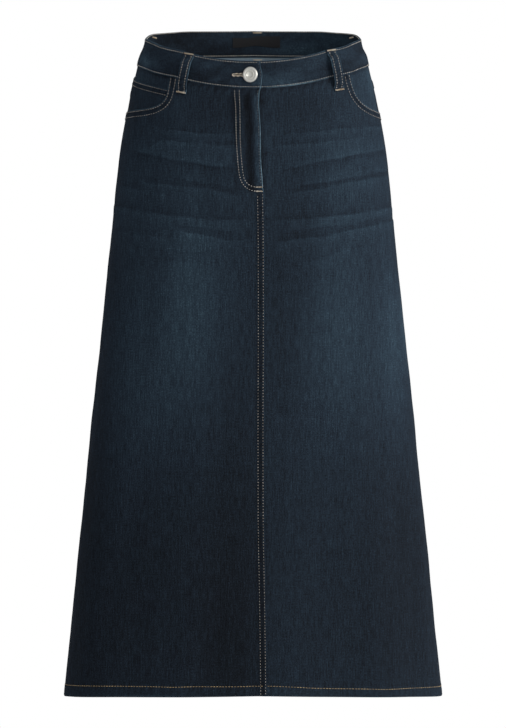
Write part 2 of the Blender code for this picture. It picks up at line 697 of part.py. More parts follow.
def belt_loop(name, top_at, foot_at, drop, space):
    """A strip sewn down at both ends and bowed out between them, so that a belt passes.

    It runs straight from its top to its foot and is square to that run, so it may lean.
    """
    top, seam = float(waist_edge(top_at)) - 0.4, float(waist_seam(foot_at))
    low = seam - drop
    height = np.concatenate([
        np.linspace(top, top - LOOP_TACK, 3),
        np.linspace(top - LOOP_TACK, low + LOOP_TACK, 15)[1:-1],
        np.linspace(low + LOOP_TACK, low, 3),
    ])
    at = top_at + (foot_at - top_at) * (top - height) / (top - low)
    share = np.clip((top - LOOP_TACK - height) / (top - low - 2 * LOOP_TACK), 0, 1)
    bow = space * (1 - np.abs(2 * share - 1) ** LOOP_FLATNESS)
    rest = BAND_FACE * fade(height, seam - 3, seam + 3)
    if "centre_back" in name:
        rest = rest + SEAM_RAISE * fade(height, seam + 3, seam - 1)
    under = rest + LOOP_REST + bow
    middle_under = place(at, height, under)
    middle_face = place(at, height, under + LOOP_CLOTH)
    middle = 0.5 * (top_at + foot_at)
    outward = place(middle, top, 1) - place(middle, top, 0)
    sideways = np.cross(outward, place(foot_at, low, 0) - place(top_at, top, 0))
    sideways /= np.linalg.norm(sideways)
    across = np.array([-0.5, -0.42, 0.42, 0.5]) * LOOP_WIDTH
    rounding = np.array([-LOOP_ROUND, 0, 0, -LOOP_ROUND])
    face = middle_face[:, None] + across[:, None] * sideways + rounding[:, None] * outward
    under_side = middle_under[:, None] + across[:, None] * sideways
    return wall(name, face, under_side)


def label():
    """Blank woven label sewn on the inside of the band at the back."""
    x = np.linspace(LABEL_X + LABEL_WIDTH / 2, LABEL_X - LABEL_WIDTH / 2, 13)
    height = LABEL_Z + np.linspace(0.5, -0.5, 3)[:, None] * LABEL_HEIGHT
    height, across = np.broadcast_arrays(height, x)
    angle = angle_at(across, height, back=True)
    face = np.full(height.shape, -1.9 - GAP)
    return cloth("label", angle, height, face, face - LABEL_CLOTH, "label_black")


def build():
    for side in ("right", "left"):
        front_panel(side)
        pocket_facing(side)
        back_panel(side)
        back_yoke(side)
    coin_pocket()
    waistband()
    button()
    zip_fastener()
    fly_shield()
    for name, shape in LOOPS.items():
        belt_loop(name, *shape)
    label()


for leftover in list(bpy.data.objects):
    bpy.data.objects.remove(leftover, do_unlink=True)
build()
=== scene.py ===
"""Looks of a long denim skirt with jeans details, filled out and open at waist and hem.

Every cloth piece is a thin shell on the form that the solids share. A place on the form is an angle
and a height: the angle is 0 at the middle of the front, 90 at the wearer's left side, 180 at the
middle of the back. A shell is a grid of such places with two distances out, one for its face and one
for its back. Creases and puckers are added to both; how faded the cloth is, together with painted
light and shade, goes into a point attribute, from 0, raw indigo and the deepest painted shade, to 1,
worn pale and the brightest painted highlight. Sizes are in millimetres and angles in degrees until
fill_mesh turns them into metres.
"""

import math

import bpy
import numpy as np
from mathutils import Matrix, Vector


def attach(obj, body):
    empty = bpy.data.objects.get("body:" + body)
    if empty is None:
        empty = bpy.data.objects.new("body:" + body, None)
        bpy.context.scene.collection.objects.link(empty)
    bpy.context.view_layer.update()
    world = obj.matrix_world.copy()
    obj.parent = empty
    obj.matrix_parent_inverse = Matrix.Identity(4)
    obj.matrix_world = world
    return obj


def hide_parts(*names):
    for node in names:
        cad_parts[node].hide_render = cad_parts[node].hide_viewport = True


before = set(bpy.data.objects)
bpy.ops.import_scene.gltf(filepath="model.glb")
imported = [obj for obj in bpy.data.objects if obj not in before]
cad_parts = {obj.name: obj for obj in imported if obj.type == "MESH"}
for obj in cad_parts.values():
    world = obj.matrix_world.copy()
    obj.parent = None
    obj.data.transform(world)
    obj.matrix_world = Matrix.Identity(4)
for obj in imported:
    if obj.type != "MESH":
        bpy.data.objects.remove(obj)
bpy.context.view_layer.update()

MM = 0.001
DENIM = 1.2  # thickness of one layer
GAP = 0.06  # what sewn edges keep between them
SIGN = {"right": -1, "left": 1}  # which way the wearer's sides lie across
SEAM_RAISE, SEAM_WIDTH = 1.0, 10.5  # lift and width of the allowances beside a seam
CENTRE_ROWS, FELL_ROWS = (2.3, 9.0), (2.3, 9.5)  # stitch rows beside the front seam and those behind
ROW_DIP, ROW_WIDTH = 0.3, 1.1  # how a stitch row draws the cloth in
STITCH_LIFT = 0.22  # how far a stitch's middle line lies above a panel
CREASE_DEPTH = 1.15  # height of a crease of strength 1
# crease colour: whisker fading together with painted shade in the trough and painted highlight on the ridge
CREASE_WASH_AND_SHADE = 0.115  # how much paler or darker such a crease is
SHAPE_EDGE, WASH_AND_SHADE_EDGE = 2.2, 1.2  # how far a crease takes to go from trough to ridge

HALF_WIDTH = [
    # height, half width
    (30, 138), (0, 147.8), (-11, 149.3), (-17, 151), (-22, 153.4), (-28, 156.2), (-34, 157.9),
    (-44, 160), (-88, 170.6), (-157, 183), (-300, 198), (-600, 229.5), (-915, 261.3),
]
FRONT_DEPTH = [
    # height, depth
    (30, 96), (-45, 101), (-81, 105), (-157, 113), (-300, 119), (-600, 122), (-915, 126),
]
BACK_DEPTH = [
    # height, depth
    (30, 99), (0, 103), (-30, 110), (-100, 123), (-190, 131), (-320, 129), (-600, 126), (-915, 128),
]
SQUARENESS = 0.88
FOLD_START, FOLD_FULL = -330, -915  # heights where the folds begin and are full
FOLDS = [
    # angle, half spread, rise at the hem
    (-61, 9, 3.0), (-40, 9, -2.5), (-19, 8, 2.0), (24, 8, -2.0), (43, 8, 3.0), (62, 9, -2.5),
    (110, 9, 4.0), (129, 9, -5.0), (147, 9, 6.5), (165, 8, -4.5), (183, 8, 5.0),
    (201, 8, -5.0), (219, 9, 6.5), (236, 9, -4.5), (252, 9, 3.5),
]
WAIST_EDGE = [
    # angle from the middle of the front, height
    (0, -41.4), (6, -41.0), (12, -39.7), (17, -38.1), (23, -35.5), (28, -32.8), (34, -29.2),
    (40, -25.3), (50, -20.6), (56, -17.6), (65, -12.2), (78, -6.6), (90, -2.5), (107, 6.0),
    (127, 10.8), (141, 13.7), (180, 16.0),
]
BAND_HEIGHT = [(0, 37.5), (100, 37.5), (180, 36.8)]  # angle from the middle of the front, height
HEM_EDGE = [(0, -902.0), (45, -905.5), (90, -909.0), (180, -908.5)]
HEM_LIFT = (-34, 13, 1.9)  # angle, half spread and rise of a place where the hem hangs a little high
HEM_ROW = [
    # angle, height of the hem's stitches above its edge
    (-90, 15.7), (-63, 15.4), (-48, 14.3), (-36, 12.7), (-26, 12.3), (-17, 13.8), (-4, 13.3), (5, 14.0),
    (13, 13.0), (20, 11.8), (37, 11.3), (43, 10.8), (56, 12.0), (79, 13.5), (120, 14.6), (270, 14.8),
]
HEM_TURN = 16.0
HEM_INSIDE = 3.4
YOKE_SIDE, YOKE_CENTRE = 32.0, 68.0
BAND_MIDDLE = -61.0
LAP_X = [
    # height, distance of the lapped edge from the middle
    (-42, 9.6), (-49, 10.4), (-60, 12.6), (-71, 11.4), (-79.5, 10.2), (-86, 8.6), (-100, 8.1),
    (-117, 9.1), (-133, 10.1), (-165, 10.6), (-182, 11.1), (-198, 12.4), (-215, 13.5),
]
SEAM_X = [
    # height, distance of the centre seam from the middle
    (-232, 15.2), (-285, 15.9), (-400, 16.1), (-540, 15.7), (-660, 15.9), (-740, 17.2),
    (-800, 18.2), (-894, 19.3),
]
ZIP_X = [(-80, 9.8), (-157, 10.8), (-215, 13.0)]  # height, distance of the zip's line from the middle
TEETH_IN = 13.4  # from that line to the teeth
LAP_END, SEAM_START = -215.0, -221.0
FLY_RAISE = 1.5
EXTENSION = 9.0
EXTENSION_END = -208.0
FLY_WIDTH = 35.0
CENTRE_BACK_X = 6.8
MOUTH = {
    # side: (angle at the waist seam, squareness of the curve, lowest height)
    "right": (43.5, 5.8, -104.4),
    "left": (54.1, 3.4, -105.0),
}
FACING_RISE = (0.2, 0.62)
FACING_LOW = -134.0
COIN_LAYER, COIN_ROWS = 0.9, (1.8, 8.0)  # thickness, and its stitch rows below the top edge
COIN_TOP_SIDE, COIN_TOP_SLOPE, COIN_LOW = -55.7, 0.235, -119.0
LAP_UNDER = 38.0
BUTTON_X, BUTTON_Z = -1.3, -60.7
BUTTON_TILT = -20.0
SHANK_RADIUS = 2.0
EYE_X = BUTTON_X - 0.5
EYE_RADIUS, SLIT_END_X, SLIT_HEIGHT = 3.5, -27.0, 1.2
LAP_RAISE, LAP_SINK = 1.1, 2.25
BAND_FACE = 1.05
BAND_LOW_ROW, BAND_HIGH_ROW = 1.9, 2.4  # its stitch rows, from the seam and from the top edge
LOOPS = {
    # name: (angle at its top, angle at its foot, length below the waist seam, clear space behind)
    "belt_loop_front_right": (-33.2, -35.0, 19.0, 5.6),
    "belt_loop_front_left": (42.9, 44.0, 20.0, 5.6),
    "belt_loop_side_left": (110.0, 110.0, 19.0, 7.2),
    "belt_loop_centre_back": (177.6, 177.6, 5.5, 5.6),
    "belt_loop_side_right": (250.0, 250.0, 19.0, 7.2),
}
LOOP_WIDTH, LOOP_CLOTH, LOOP_TACK, LOOP_FLATNESS = 14.4, 2.0, 6.5, 6
LABEL_X, LABEL_Z, LABEL_WIDTH, LABEL_HEIGHT, LABEL_CLOTH = 4.9, -1.0, 67.0, 15.8, 0.6
BAND_SECTION = [
    # share of the band's height, face, back
    (0.0, 0.7, -1.8), (0.05, 0.9, -1.9), (0.3, 1.05, -1.9), (0.65, 1.05, -1.9),
    (0.93, 0.9, -1.85), (0.98, 0.5, -1.5), (1.0, -0.1, -0.9),
]

# Creases: places along the line, strength, reach above and reach below. A positive strength is a
# trough above the line over a ridge below it; in colour the trough is darker and the ridge paler,
# whisker fading together with painted shade in the trough and painted highlight on the ridge. A
# negative one is the reverse.
CREASES = [
    # front, wearer's right
    ([(-54, -122), (-44, -133), (-33, -136.5), (-23, -139.5), (-13, -142), (-7, -140)], 0.9, 5, 7),
    ([(-50, -157), (-43, -148.5), (-32, -151.5), (-22, -154.5), (-13, -157), (-4, -155)], 0.9, 4, 8),
    ([(-62, -161), (-48, -168), (-37, -175), (-26, -180), (-17, -185), (-8, -186)], -1.0, 9, 8),
    ([(-34, -200), (-26, -205), (-17, -209), (-9, -214.5), (-3, -216)], -0.55, 8, 4),
    ([(-55, -201.5), (-41, -208), (-31, -211.5), (-21, -214.5), (-13, -220), (-4, -227)], 0.8, 5, 9),
    ([(-88, -202), (-61, -212), (-47, -218.5), (-40, -222), (-33, -228)], 0.55, 5, 6),
    ([(-90, -232.5), (-59, -241), (-46, -247), (-35, -251), (-25, -255), (-13, -258), (-2, -258)],
     0.85, 5, 12),
    ([(-32, -264), (-21, -268), (-12, -273), (-4, -274)], -0.5, 6, 4),
    ([(-33, -269.5), (-25, -275.5), (-16, -281), (-8, -285), (-1, -284)], 0.9, 4, 12),
    ([(-90, -266), (-58, -274), (-45, -278.5), (-36, -283)], 0.4, 6, 8),
    ([(-59, -286), (-39, -297), (-25, -301), (-14, -297)], -0.3, 9, 7),
    ([(-46, -310), (-33, -314.5), (-20, -317.5)], 0.3, 5, 10),
    # front, wearer's left
    ([(12, -142.5), (21, -139.5), (30, -136.5), (42, -132.5), (55, -129), (82, -125)], 0.8, 4, 6),
    ([(7, -157.5), (16, -156), (25, -153), (35, -150), (47, -145), (57, -140.5)], 0.65, 5, 7),
    ([(13, -189), (20, -184.5), (29, -178.5), (40, -172.5), (52, -166.5), (82, -157)], -1.1, 9, 7),
    ([(18, -213), (24, -209.5), (34, -204.5), (45, -199.5), (59, -193), (90, -184)], -0.75, 9, 3.5),
    ([(13, -223), (20, -219), (29, -214), (39, -208), (51, -202), (86, -190.5)], 0.85, 4, 9),
    ([(9, -258.5), (19, -256.5), (28, -254), (38, -250.5), (49, -246.5), (65, -240.5), (90, -235)],
     1.0, 5, 11),
    ([(13, -273), (23, -270), (32, -266), (43, -263.5), (53, -256.5), (70, -249.5)], -0.5, 6, 4),
    ([(8, -288), (19, -283), (28, -280.5), (37, -274), (48, -268), (64, -260), (90, -252)], 0.9, 5, 12),
    ([(19, -316), (27, -310.5), (39, -298), (56, -291.5)], 0.3, 6, 10),
    # sides and back
    ([(94, -150), (118, -162), (150, -166)], 0.7, 5, 8),
    ([(100, -210), (126, -224), (160, -219)], 0.8, 5, 10),
    ([(98, -248), (124, -264), (158, -257), (176, -252)], -0.6, 8, 5),
    ([(104, -274), (132, -289), (168, -280)], 0.8, 5, 11),
    ([(196, -176), (224, -185), (256, -170)], 0.7, 5, 8),
    ([(190, -206), (222, -216), (262, -198)], -0.6, 8, 4),
    ([(188, -236), (216, -251), (252, -234)], 0.8, 5, 10),
    ([(186, -290), (214, -301), (244, -285)], 0.8, 5, 11),
]

# Where the cloth is paler or darker, worn fades on thighs and seat mixed with painted highlight along
# the wearer's left side and painted shade on the lower sides: angle and height of the middle, the two
# half spreads, gain
FADES_AND_PAINTED_LIGHT = [
    (-24, -400, 14, 150, 0.16), (-24, -300, 24, 90, 0.05), (34, -390, 17, 160, 0.13),
    (-30, -170, 30, 70, 0.07), (40, -180, 34, 80, 0.07), (82, -400, 8, 60, 0.14),
    (150, -180, 20, 80, 0.12), (207, -180, 20, 80, 0.12), (150, -430, 22, 170, 0.08),
    (210, -430, 22, 170, 0.08), (90, -430, 9, 150, 0.05), (62, -700, 30, 170, -0.09),
    (30, -300, 40, 90, -0.02),
    (-6, -560, 8, 220, -0.03), (10, -420, 7, 160, -0.05), (-75, -650, 14, 200, -0.05),
    (-40, -720, 26, 160, -0.04), (-54, -420, 14, 180, 0.075), (-64, -215, 12, 70, 0.05),
    (66, -430, 9, 130, 0.07), (-7, -800, 10, 190, -0.07), (24, -210, 14, 90, -0.055),
    (-20, -190, 8, 90, -0.03), (-14, -106, 14, 26, -0.06), (24, -106, 16, 26, -0.06),
    (-48, -530, 7, 120, 0.06), (68, -400, 9, 110, 0.06), (20, -290, 9, 120, -0.035),
    (-14, -230, 9, 100, -0.02), (50, -850, 30, 80, -0.035), (-60, -850, 22, 80, -0.04),
    (-36, -520, 8, 95, 0.07), (57, -470, 8, 105, 0.06), (-8, -850, 10, 110, -0.045),
]
BASE_WASH = 0.36
BAND_FADES_AND_PAINTED_LIGHT = [
    # angle, half spread, gain: where the band is paler or darker; the two behind are painted light on
    # the wearer's left and painted shade on the wearer's right of the band's inside
    (-70, 16, 0.16), (14, 17, 0.07), (40, 16, 0.03), (142, 30, 0.17), (222, 28, -0.10),
]


# ---- The form ----

def curve(rows, at):
    """Smooth curve through rows of (place, value), a cubic between each two, never overshooting."""
    table = np.array(sorted(rows), float)
    place, value = table[:, 0], table[:, 1]
    step = np.diff(place)
    slope = np.diff(value) / step
    tangent = np.concatenate([slope[:1], np.zeros(len(slope) - 1), slope[-1:]])
    before, after = slope[:-1], slope[1:]
    same_way = before * after > 0
    near, far = 2 * step[1:] + step[:-1], step[1:] + 2 * step[:-1]
    mean = (near + far) / (near / np.where(same_way, before, 1) + far / np.where(same_way, after, 1))
    tangent[1:-1] = np.where(same_way, mean, 0)
    at = np.clip(at, place[0], place[-1])
    i = np.clip(np.searchsorted(place, at, side="right") - 1, 0, len(step) - 1)
    u = (at - place[i]) / step[i]
    rise = value[i] + u * u * (3 - 2 * u) * (value[i + 1] - value[i])
    bend = u * (1 - u) ** 2 * tangent[i] - u * u * (1 - u) * tangent[i + 1]
    return rise + step[i] * bend


def fade(x, start, end):
    """0 at start, 1 at end, level at both: u squared times 3 minus 2u."""
    u = np.clip((np.asarray(x, float) - start) / (end - start), 0, 1)
    return u * u * (3 - 2 * u)


def bell(x, middle, spread):
    """e to the minus square of the distance from the middle over the spread."""
    return np.exp(-(((np.asarray(x, float) - middle) / spread) ** 2))


def from_front(angle):
    """Angle measured from the middle of the front either way, 0 to 180."""
    return np.abs((np.asarray(angle, float) + 180) % 360 - 180)


def turned(angle):
    """The same angle between -90 and 270."""
    return (np.asarray(angle, float) + 90) % 360 - 90


def folds(angle, height):
    """Sum of bells in the angle, each times how far down the skirt the place is."""
    at = turned(angle)
    swing = sum(rise * bell(at, where, wide) for where, wide, rise in FOLDS)
    return fade(height, FOLD_START, FOLD_FULL) * swing


def place(angle, height, out):
    """Across = half width x sin(angle); forward = depth x cos(angle) ^ squareness; out the normal."""
    angle, height, out = np.broadcast_arrays(*(np.asarray(v, float) for v in (angle, height, out)))
    turn = np.radians(angle)
    across, ahead = np.sin(turn), np.cos(turn)
    width = curve(HALF_WIDTH, height)
    depth = np.where(ahead > 0, curve(FRONT_DEPTH, height), curve(BACK_DEPTH, height))
    face = np.where(ahead > 0, -1.0, 1.0)
    ahead = np.abs(ahead)
    normal_x = depth * SQUARENESS * across
    normal_y = face * width * ahead ** (2 - SQUARENESS)
    length = np.hypot(normal_x, normal_y)
    out = out + folds(angle, height)
    x = width * across + out * normal_x / length
    y = face * depth * ahead**SQUARENESS + out * normal_y / length
    return np.stack([x, y, height], axis=-1)


def angle_at(x, height, back=False):
    """Angle of the place that lies x to the wearer's left, in front or behind."""
    angle = np.degrees(np.arcsin(np.asarray(x, float) / curve(HALF_WIDTH, height)))
    return 180 - angle if back else angle


def side_margin(height):
    """Angle that leaves half a gap beside a side seam."""
    reach = (0.5 * GAP / curve(FRONT_DEPTH, height)) ** (1 / SQUARENESS)
    return np.degrees(np.arcsin(reach))


def waist_edge(angle):
    return curve(WAIST_EDGE, from_front(angle))


def band_height(angle):
    return curve(BAND_HEIGHT, from_front(angle))


def waist_seam(angle):
    return waist_edge(angle) - band_height(angle)


def hem_edge(angle):
    middle, wide, rise = HEM_LIFT
    return curve(HEM_EDGE, from_front(angle)) + rise * bell(turned(angle), middle, wide)


def yoke_seam(angle):
    """The yoke deepens evenly from the side seam to the centre back."""
    share = (from_front(angle) - 90) / 90
    return waist_seam(angle) - YOKE_SIDE - (YOKE_CENTRE - YOKE_SIDE) * share


def front_edge(height):
    """Distance across of the right front's edge: the fly's lap, then the centre seam."""
    lap = curve(LAP_X, height)
    return lap + (curve(SEAM_X, height) - lap) * fade(height, LAP_END, SEAM_START)


def along(angle_a, angle_b, height):
    """Length of the form's level section between two angles, summed over 24 short chords."""
    steps = np.linspace(0, 1, 25)
    angle_a = np.asarray(angle_a, float)[..., None]
    angles = angle_a + (np.asarray(angle_b, float)[..., None] - angle_a) * steps
    points = place(angles, np.asarray(height, float)[..., None], 0)
    return np.linalg.norm(np.diff(points, axis=-2), axis=-1).sum(axis=-1)


def mouth_line(side, count):
    """Angle, height and distance across of a pocket mouth, from the waist seam to the side seam.

    With t from 0 to a quarter turn, the share gone across is 1 - cos(t)^(2/n) and the share gone
    down is sin(t)^(2/n), a rounded corner of squareness n, read off at even steps of its length.
    """
    start, square, low = MOUTH[side]
    table = np.linspace(start, 90, 60)
    length = along(np.full(60, start), table, -90.0)
    t = fade(np.linspace(0, 1, 2001), 0, 1) * math.pi / 2
    across = (1 - np.maximum(np.cos(t), 0) ** (2 / square)) * length[-1]
    top = waist_seam(start)
    height = top + (low - top) * np.sin(t) ** (2 / square)
    walked = np.concatenate([[0], np.cumsum(np.hypot(np.diff(across), np.diff(height)))])
    even = np.linspace(0, walked[-1], count)
    across, height = np.interp(even, walked, across), np.interp(even, walked, height)
    return np.interp(across, length, table), height, across


def mouth_distance(side, angle, height):
    """Distance in mm to the nearest point of the pocket mouth, for the places close to it."""
    sign = SIGN[side]
    close = (height > -128) & (sign * angle > MOUTH[side][0] - 9)
    line_angle, line_height, _ = mouth_line(side, 600)
    line = place(sign * line_angle, line_height, 0)
    points = place(angle[close], height[close], 0)
    squares = (points**2).sum(axis=1)[:, None] + (line**2).sum(axis=1) - 2 * points @ line.T
    nearest = np.full(angle.shape, 99.0)
    if close.any():
        nearest[close] = np.sqrt(np.maximum(squares.min(axis=1), 0))
    return nearest


def mouth_inside(side, angle, height):
    """How far a place lies inside the pocket mouth: 0 on its edge or under the panel, to 1."""
    start, square, low = MOUTH[side]
    at = np.abs(np.asarray(angle, float))
    whole = along(start, 90.0, -90.0)
    share = np.clip(along(start, np.maximum(at, start), -90.0) / whole, 0, 1)
    top = waist_seam(start)
    drop = np.clip((height - top) / (low - top), 0, 1)
    inside = 1 - ((1 - share) ** square + drop**square) ** (1 / square)
    return np.where(at > start, np.clip(inside, 0, 1), 0)


# ---- Creases, puckers and wear ----

def creases(angle, height, edge):
    """Sum of the creases: strength x -tanh(u / edge) x e^(-|u| / reach), u the height above its line.

    The line wavers by slow sines, and each crease swells and thins along its length and tapers to
    both ends.
    """
    at = turned(angle)
    total = np.zeros(np.broadcast(at, height).shape)
    for number, (points, strength, reach_above, reach_below) in enumerate(CREASES):
        first, last = points[0][0], points[-1][0]
        waver = 0.45 * np.sin(at * 0.31 + number * 1.7) + 0.25 * np.sin(at * 0.83 + number)
        taper = fade(at, first - 3, first + 7) * fade(at, last + 3, last - 7)
        swell = 0.8 + 0.2 * np.sin(at * 0.16 + number * 2.3)
        above = height - curve(points, at) - waver
        reach = np.where(above > 0, reach_above, reach_below)
        total = total - strength * swell * taper * np.tanh(above / edge) * np.exp(-np.abs(above) / reach)
    return total


def ripples(angle, height):
    """Slight unevenness all over: four crossed sines of 25 to 90 mm."""
    at = turned(angle) * 3.2
    return (
        0.22 * np.sin(at / 11 + height / 23) * np.sin(height / 17 + 1.1)
        + 0.20 * np.sin(at / 7.3 - height / 41 + 2.0)
        + 0.14 * np.sin(at / 4.6 + height / 13 + 0.7) * np.sin(at / 19)
        + 0.25 * np.sin(height / 29 + at / 31 + 4.0)
    )


def pucker(length, distance, reach):
    """Roping beside a stitched seam: slanting sines of about 9 mm, fading within the reach."""
    phase = length / 1.45 + 0.35 * distance + 1.6 * np.sin(length / 23) + 0.9 * np.sin(length / 9.1)
    return np.sin(phase) * fade(distance, reach, 0.35 * reach)


def washed_and_shaded(angle, height):
    """The panels' fading and painted light: a base that darkens to the hem; bells on thighs, seat and
    sides, some worn fades, some painted highlight and some painted shade; creases with painted shade in
    their troughs and painted highlight on their ridges.

    The panels on the wearer's right are darker, more so towards the hem.
    """
    at = turned(angle)
    right_half = fade(place(angle, height, 0)[..., 0], 12, 8)
    base = BASE_WASH - 0.04 * fade(height, -420, -760) - 0.02 * right_half * fade(height, -380, -640)
    broad = sum(gain * bell(at, a, wide) * bell(height, h, tall) for a, h, wide, tall, gain in FADES_AND_PAINTED_LIGHT)
    # creases: whisker fading together with painted shade in the troughs and painted highlight on the ridges
    return base - 0.015 * right_half + broad + CREASE_WASH_AND_SHADE * creases(angle, height, WASH_AND_SHADE_EDGE)


def seam_lift(distance):
    """Lift of the face over an allowance, with a rolled edge beside the seam."""
    lift = SEAM_RAISE * fade(distance, SEAM_WIDTH + 2, SEAM_WIDTH - 1)
    return lift - 0.75 * SEAM_RAISE * fade(distance, 1.6, 0.0)


def fly_lift(distance, height):
    """Lift of the right front over the fly, by distance from its lapped edge.

    The flap rides on the extension below it, the facing behind the J adds a layer, and between the
    J and the edge the flap sinks in a soft trough and rises again near its edge.
    """
    above = fade(height, -217, -212)
    flap = fade(distance, 23, 18)
    facing = fade(distance, FLY_WIDTH + 4, FLY_WIDTH) * fade(height, -216, -200)
    hollow = -0.9 * bell(distance, 16, 5) + 0.45 * bell(distance, 6.5, 4)
    face = SEAM_RAISE * facing + (FLY_RAISE - SEAM_RAISE) * flap * above
    face = face + hollow * above * fade(height, -80, -96) * fade(height, -212, -196)
    return face - 0.6 * fade(distance, 1.0, 0.0) * above, FLY_RAISE * flap * above


def sewn_in(distance, row):
    """A stitch row pulls the cloth in: a narrow bell along it."""
    return -ROW_DIP * bell(distance, row, ROW_WIDTH)


def lapped(distance, rows):
    """Face of a lapped seam: lifted over its allowance, and drawn in along both stitch rows."""
    near, far = rows
    return seam_lift(distance) + sewn_in(distance, near) + sewn_in(distance, far)


def front_out(side, angle, height):
    """Face, back, and wash with painted light and shade, of a front panel at any place."""
    hem = hem_edge(angle)
    edge = place(angle, height, 0)[..., 0]
    distance = front_edge(height) - edge if side == "right" else edge - front_edge(height)
    distance = np.maximum(distance, 0)
    shape = CREASE_DEPTH * creases(angle, height, SHAPE_EDGE) * fade(distance, 3, 16)
    shape = shape + ripples(angle, height) * fade(distance, 6, 30) * fade(height, -86, -120)
    mouth = mouth_distance(side, angle, height)
    face = 0.25 * fade(height, hem + HEM_TURN + 1, hem + HEM_TURN - 1) + shape
    back = -DENIM - (HEM_INSIDE - DENIM) * fade(height, hem + HEM_TURN, hem + HEM_TURN - 1.6) + shape
    wash_and_shade = washed_and_shaded(angle, height)

    lip = 0.75 * fade(mouth, 12, 10.5) - 0.6 * fade(mouth, 1.2, 0)
    face = face + lip + sewn_in(mouth, 2.2) + sewn_in(mouth, 9.0) * 0.7
    wash_and_shade = wash_and_shade + 0.30 * fade(mouth, 1.6, 0.3) - 0.10 * bell(mouth, 5.5, 3)
    wash_and_shade = wash_and_shade + 0.05 * pucker(height + edge, mouth, 12)

    rope = pucker(height, distance, 13)
    low = fade(height, -214, -224)
    if side == "right":
        lift, back_lift = fly_lift(distance, height)
        seam = lapped(distance, CENTRE_ROWS) + 0.14 * rope
        face = face + lift * (1 - low) + seam * low + sewn_in(distance, 2.6) * (1 - low)
        back = back + back_lift * (1 - low)
        wash_and_shade = wash_and_shade + 0.42 * fade(distance, 1.6, 0.4) * (1 - 0.9 * low)
        wash_and_shade = wash_and_shade + low * (-0.17 * bell(distance, 5.6, 3.4) + 0.045 * rope)
        above = (1 - low) * fade(height, -80, -92)
        mottle = np.sin(height / 3.7 + 1.5 * np.sin(height / 11)) * np.sin(height / 8.3 + distance / 2)
        mottle = 0.7 + 0.5 * mottle
        # painted shade in the flap's trough, and a paler mottled strip near its edge: wear together with
        # painted highlight on the flap's ridge
        wash_and_shade = wash_and_shade + above * (-0.26 * bell(distance, 15.5, 5.5) + 0.14 * mottle * bell(distance, 5.2, 2.8))
        wash_and_shade = wash_and_shade - above * (0.06 + 0.08 * fade(height, -170, -120)) * bell(distance, 32, 6)
    else:
        face = face - 0.5 * fade(distance, 1.6, 0) * low + 0.10 * pucker(height + 31, distance, 9) * low
        # painted shadow of the flap on the left front beside its lapped edge, above the fly's foot; below it
        # a pale worn edge; then painted shadows of small puckers beside the edge
        wash_and_shade = wash_and_shade - 0.12 * fade(distance, 7, 0) * (1 - low) + low * 0.10 * fade(distance, 1.6, 0)
        pucker_shadow = bell(height, -97, 4) + 0.7 * bell(height, -88, 3) + 0.8 * bell(height, -172, 14)
        wash_and_shade = wash_and_shade - 0.14 * pucker_shadow * bell(distance, 3, 4)
        wash_and_shade = wash_and_shade + low * 0.03 * pucker(height + 31, distance, 9)
    return trim(angle, height, hem, face, back, wash_and_shade)


def trim(angle, height, hem, face, back, wash_and_shade):
    """Adds the hem's roping and worn fold, and painted shadow close under the waistband."""
    length = turned(angle) * 3.9
    above_hem = height - hem
    rope = pucker(length, np.abs(above_hem - 8), 13)
    face = face + 0.16 * rope * fade(above_hem, 22, 14) + sewn_in(above_hem, curve(HEM_ROW, turned(angle)))
    face = face - 0.7 * fade(above_hem, 1.6, 0)
    wash_and_shade = wash_and_shade + 0.05 * rope * fade(above_hem, 22, 12) + 0.12 * fade(above_hem, 1.8, 0)
    wash_and_shade = wash_and_shade - 0.05 * bell(above_hem, 17.5, 1.6) + 0.035 * fade(above_hem, 15, 13)
    under_band = waist_seam(angle) - height
    # painted shadow just under the waistband, and roping beside its seam
    wash_and_shade = wash_and_shade - 0.08 * fade(under_band, 9, 0) + 0.05 * pucker(turned(angle) * 2.3, under_band, 15)
    return face, back, wash_and_shade


def back_out(side, angle, height):
    """Face, back, and wash with painted light and shade, of a back panel at any place."""
    hem = hem_edge(angle)
    distance = centre_distance(angle, height)
    below = yoke_seam(angle) - height
    calm = fade(distance, 4, 30) * fade(below, 2, 30)
    shape = (CREASE_DEPTH * creases(angle, height, SHAPE_EDGE) + ripples(angle, height)) * calm
    face = 0.25 * fade(height, hem + HEM_TURN + 1, hem + HEM_TURN - 1) + shape
    back = -DENIM - (HEM_INSIDE - DENIM) * fade(height, hem + HEM_TURN, hem + HEM_TURN - 1.6) + shape
    rope = pucker(height, distance, 13)
    wash_and_shade = washed_and_shaded(angle, height) - 0.06 * fade(below, 3, 0)
    if side == "right":
        face = face + lapped(distance, FELL_ROWS) + 0.14 * rope
        wash_and_shade = wash_and_shade + 0.22 * fade(distance, 1.4, 0.2) - 0.08 * bell(distance, 5.8, 4) + 0.045 * rope
    else:
        face = face - 0.5 * fade(distance, 1.4, 0)
        wash_and_shade = wash_and_shade + 0.03 * rope
    return trim(angle, height, hem, face, back, wash_and_shade)


def yoke_out(side, angle, height):
    """Face, back, and wash with painted shadow, of a back yoke: lifted and roped above the seam it laps."""
    above = height - yoke_seam(angle)
    distance = centre_distance(angle, height)
    rope = pucker(turned(angle) * 2.9, above, 13)
    face = lapped(above, FELL_ROWS) + 0.13 * rope
    wash_and_shade = washed_and_shaded(angle, height) + 0.20 * fade(above, 1.4, 0.2) - 0.07 * bell(above, 5.8, 4) + 0.04 * rope
    if side == "right":
        face = np.maximum(face, lapped(distance, FELL_ROWS))
        wash_and_shade = wash_and_shade + 0.15 * fade(distance, 1.4, 0.2)
    under_band = waist_seam(angle) - height
    # painted shadow just under the waistband
    return face, np.full(face.shape, -DENIM), wash_and_shade - 0.08 * fade(under_band, 9, 0)


def centre_distance(angle, height):
    return np.abs(place(angle, height, 0)[..., 0] - CENTRE_BACK_X)


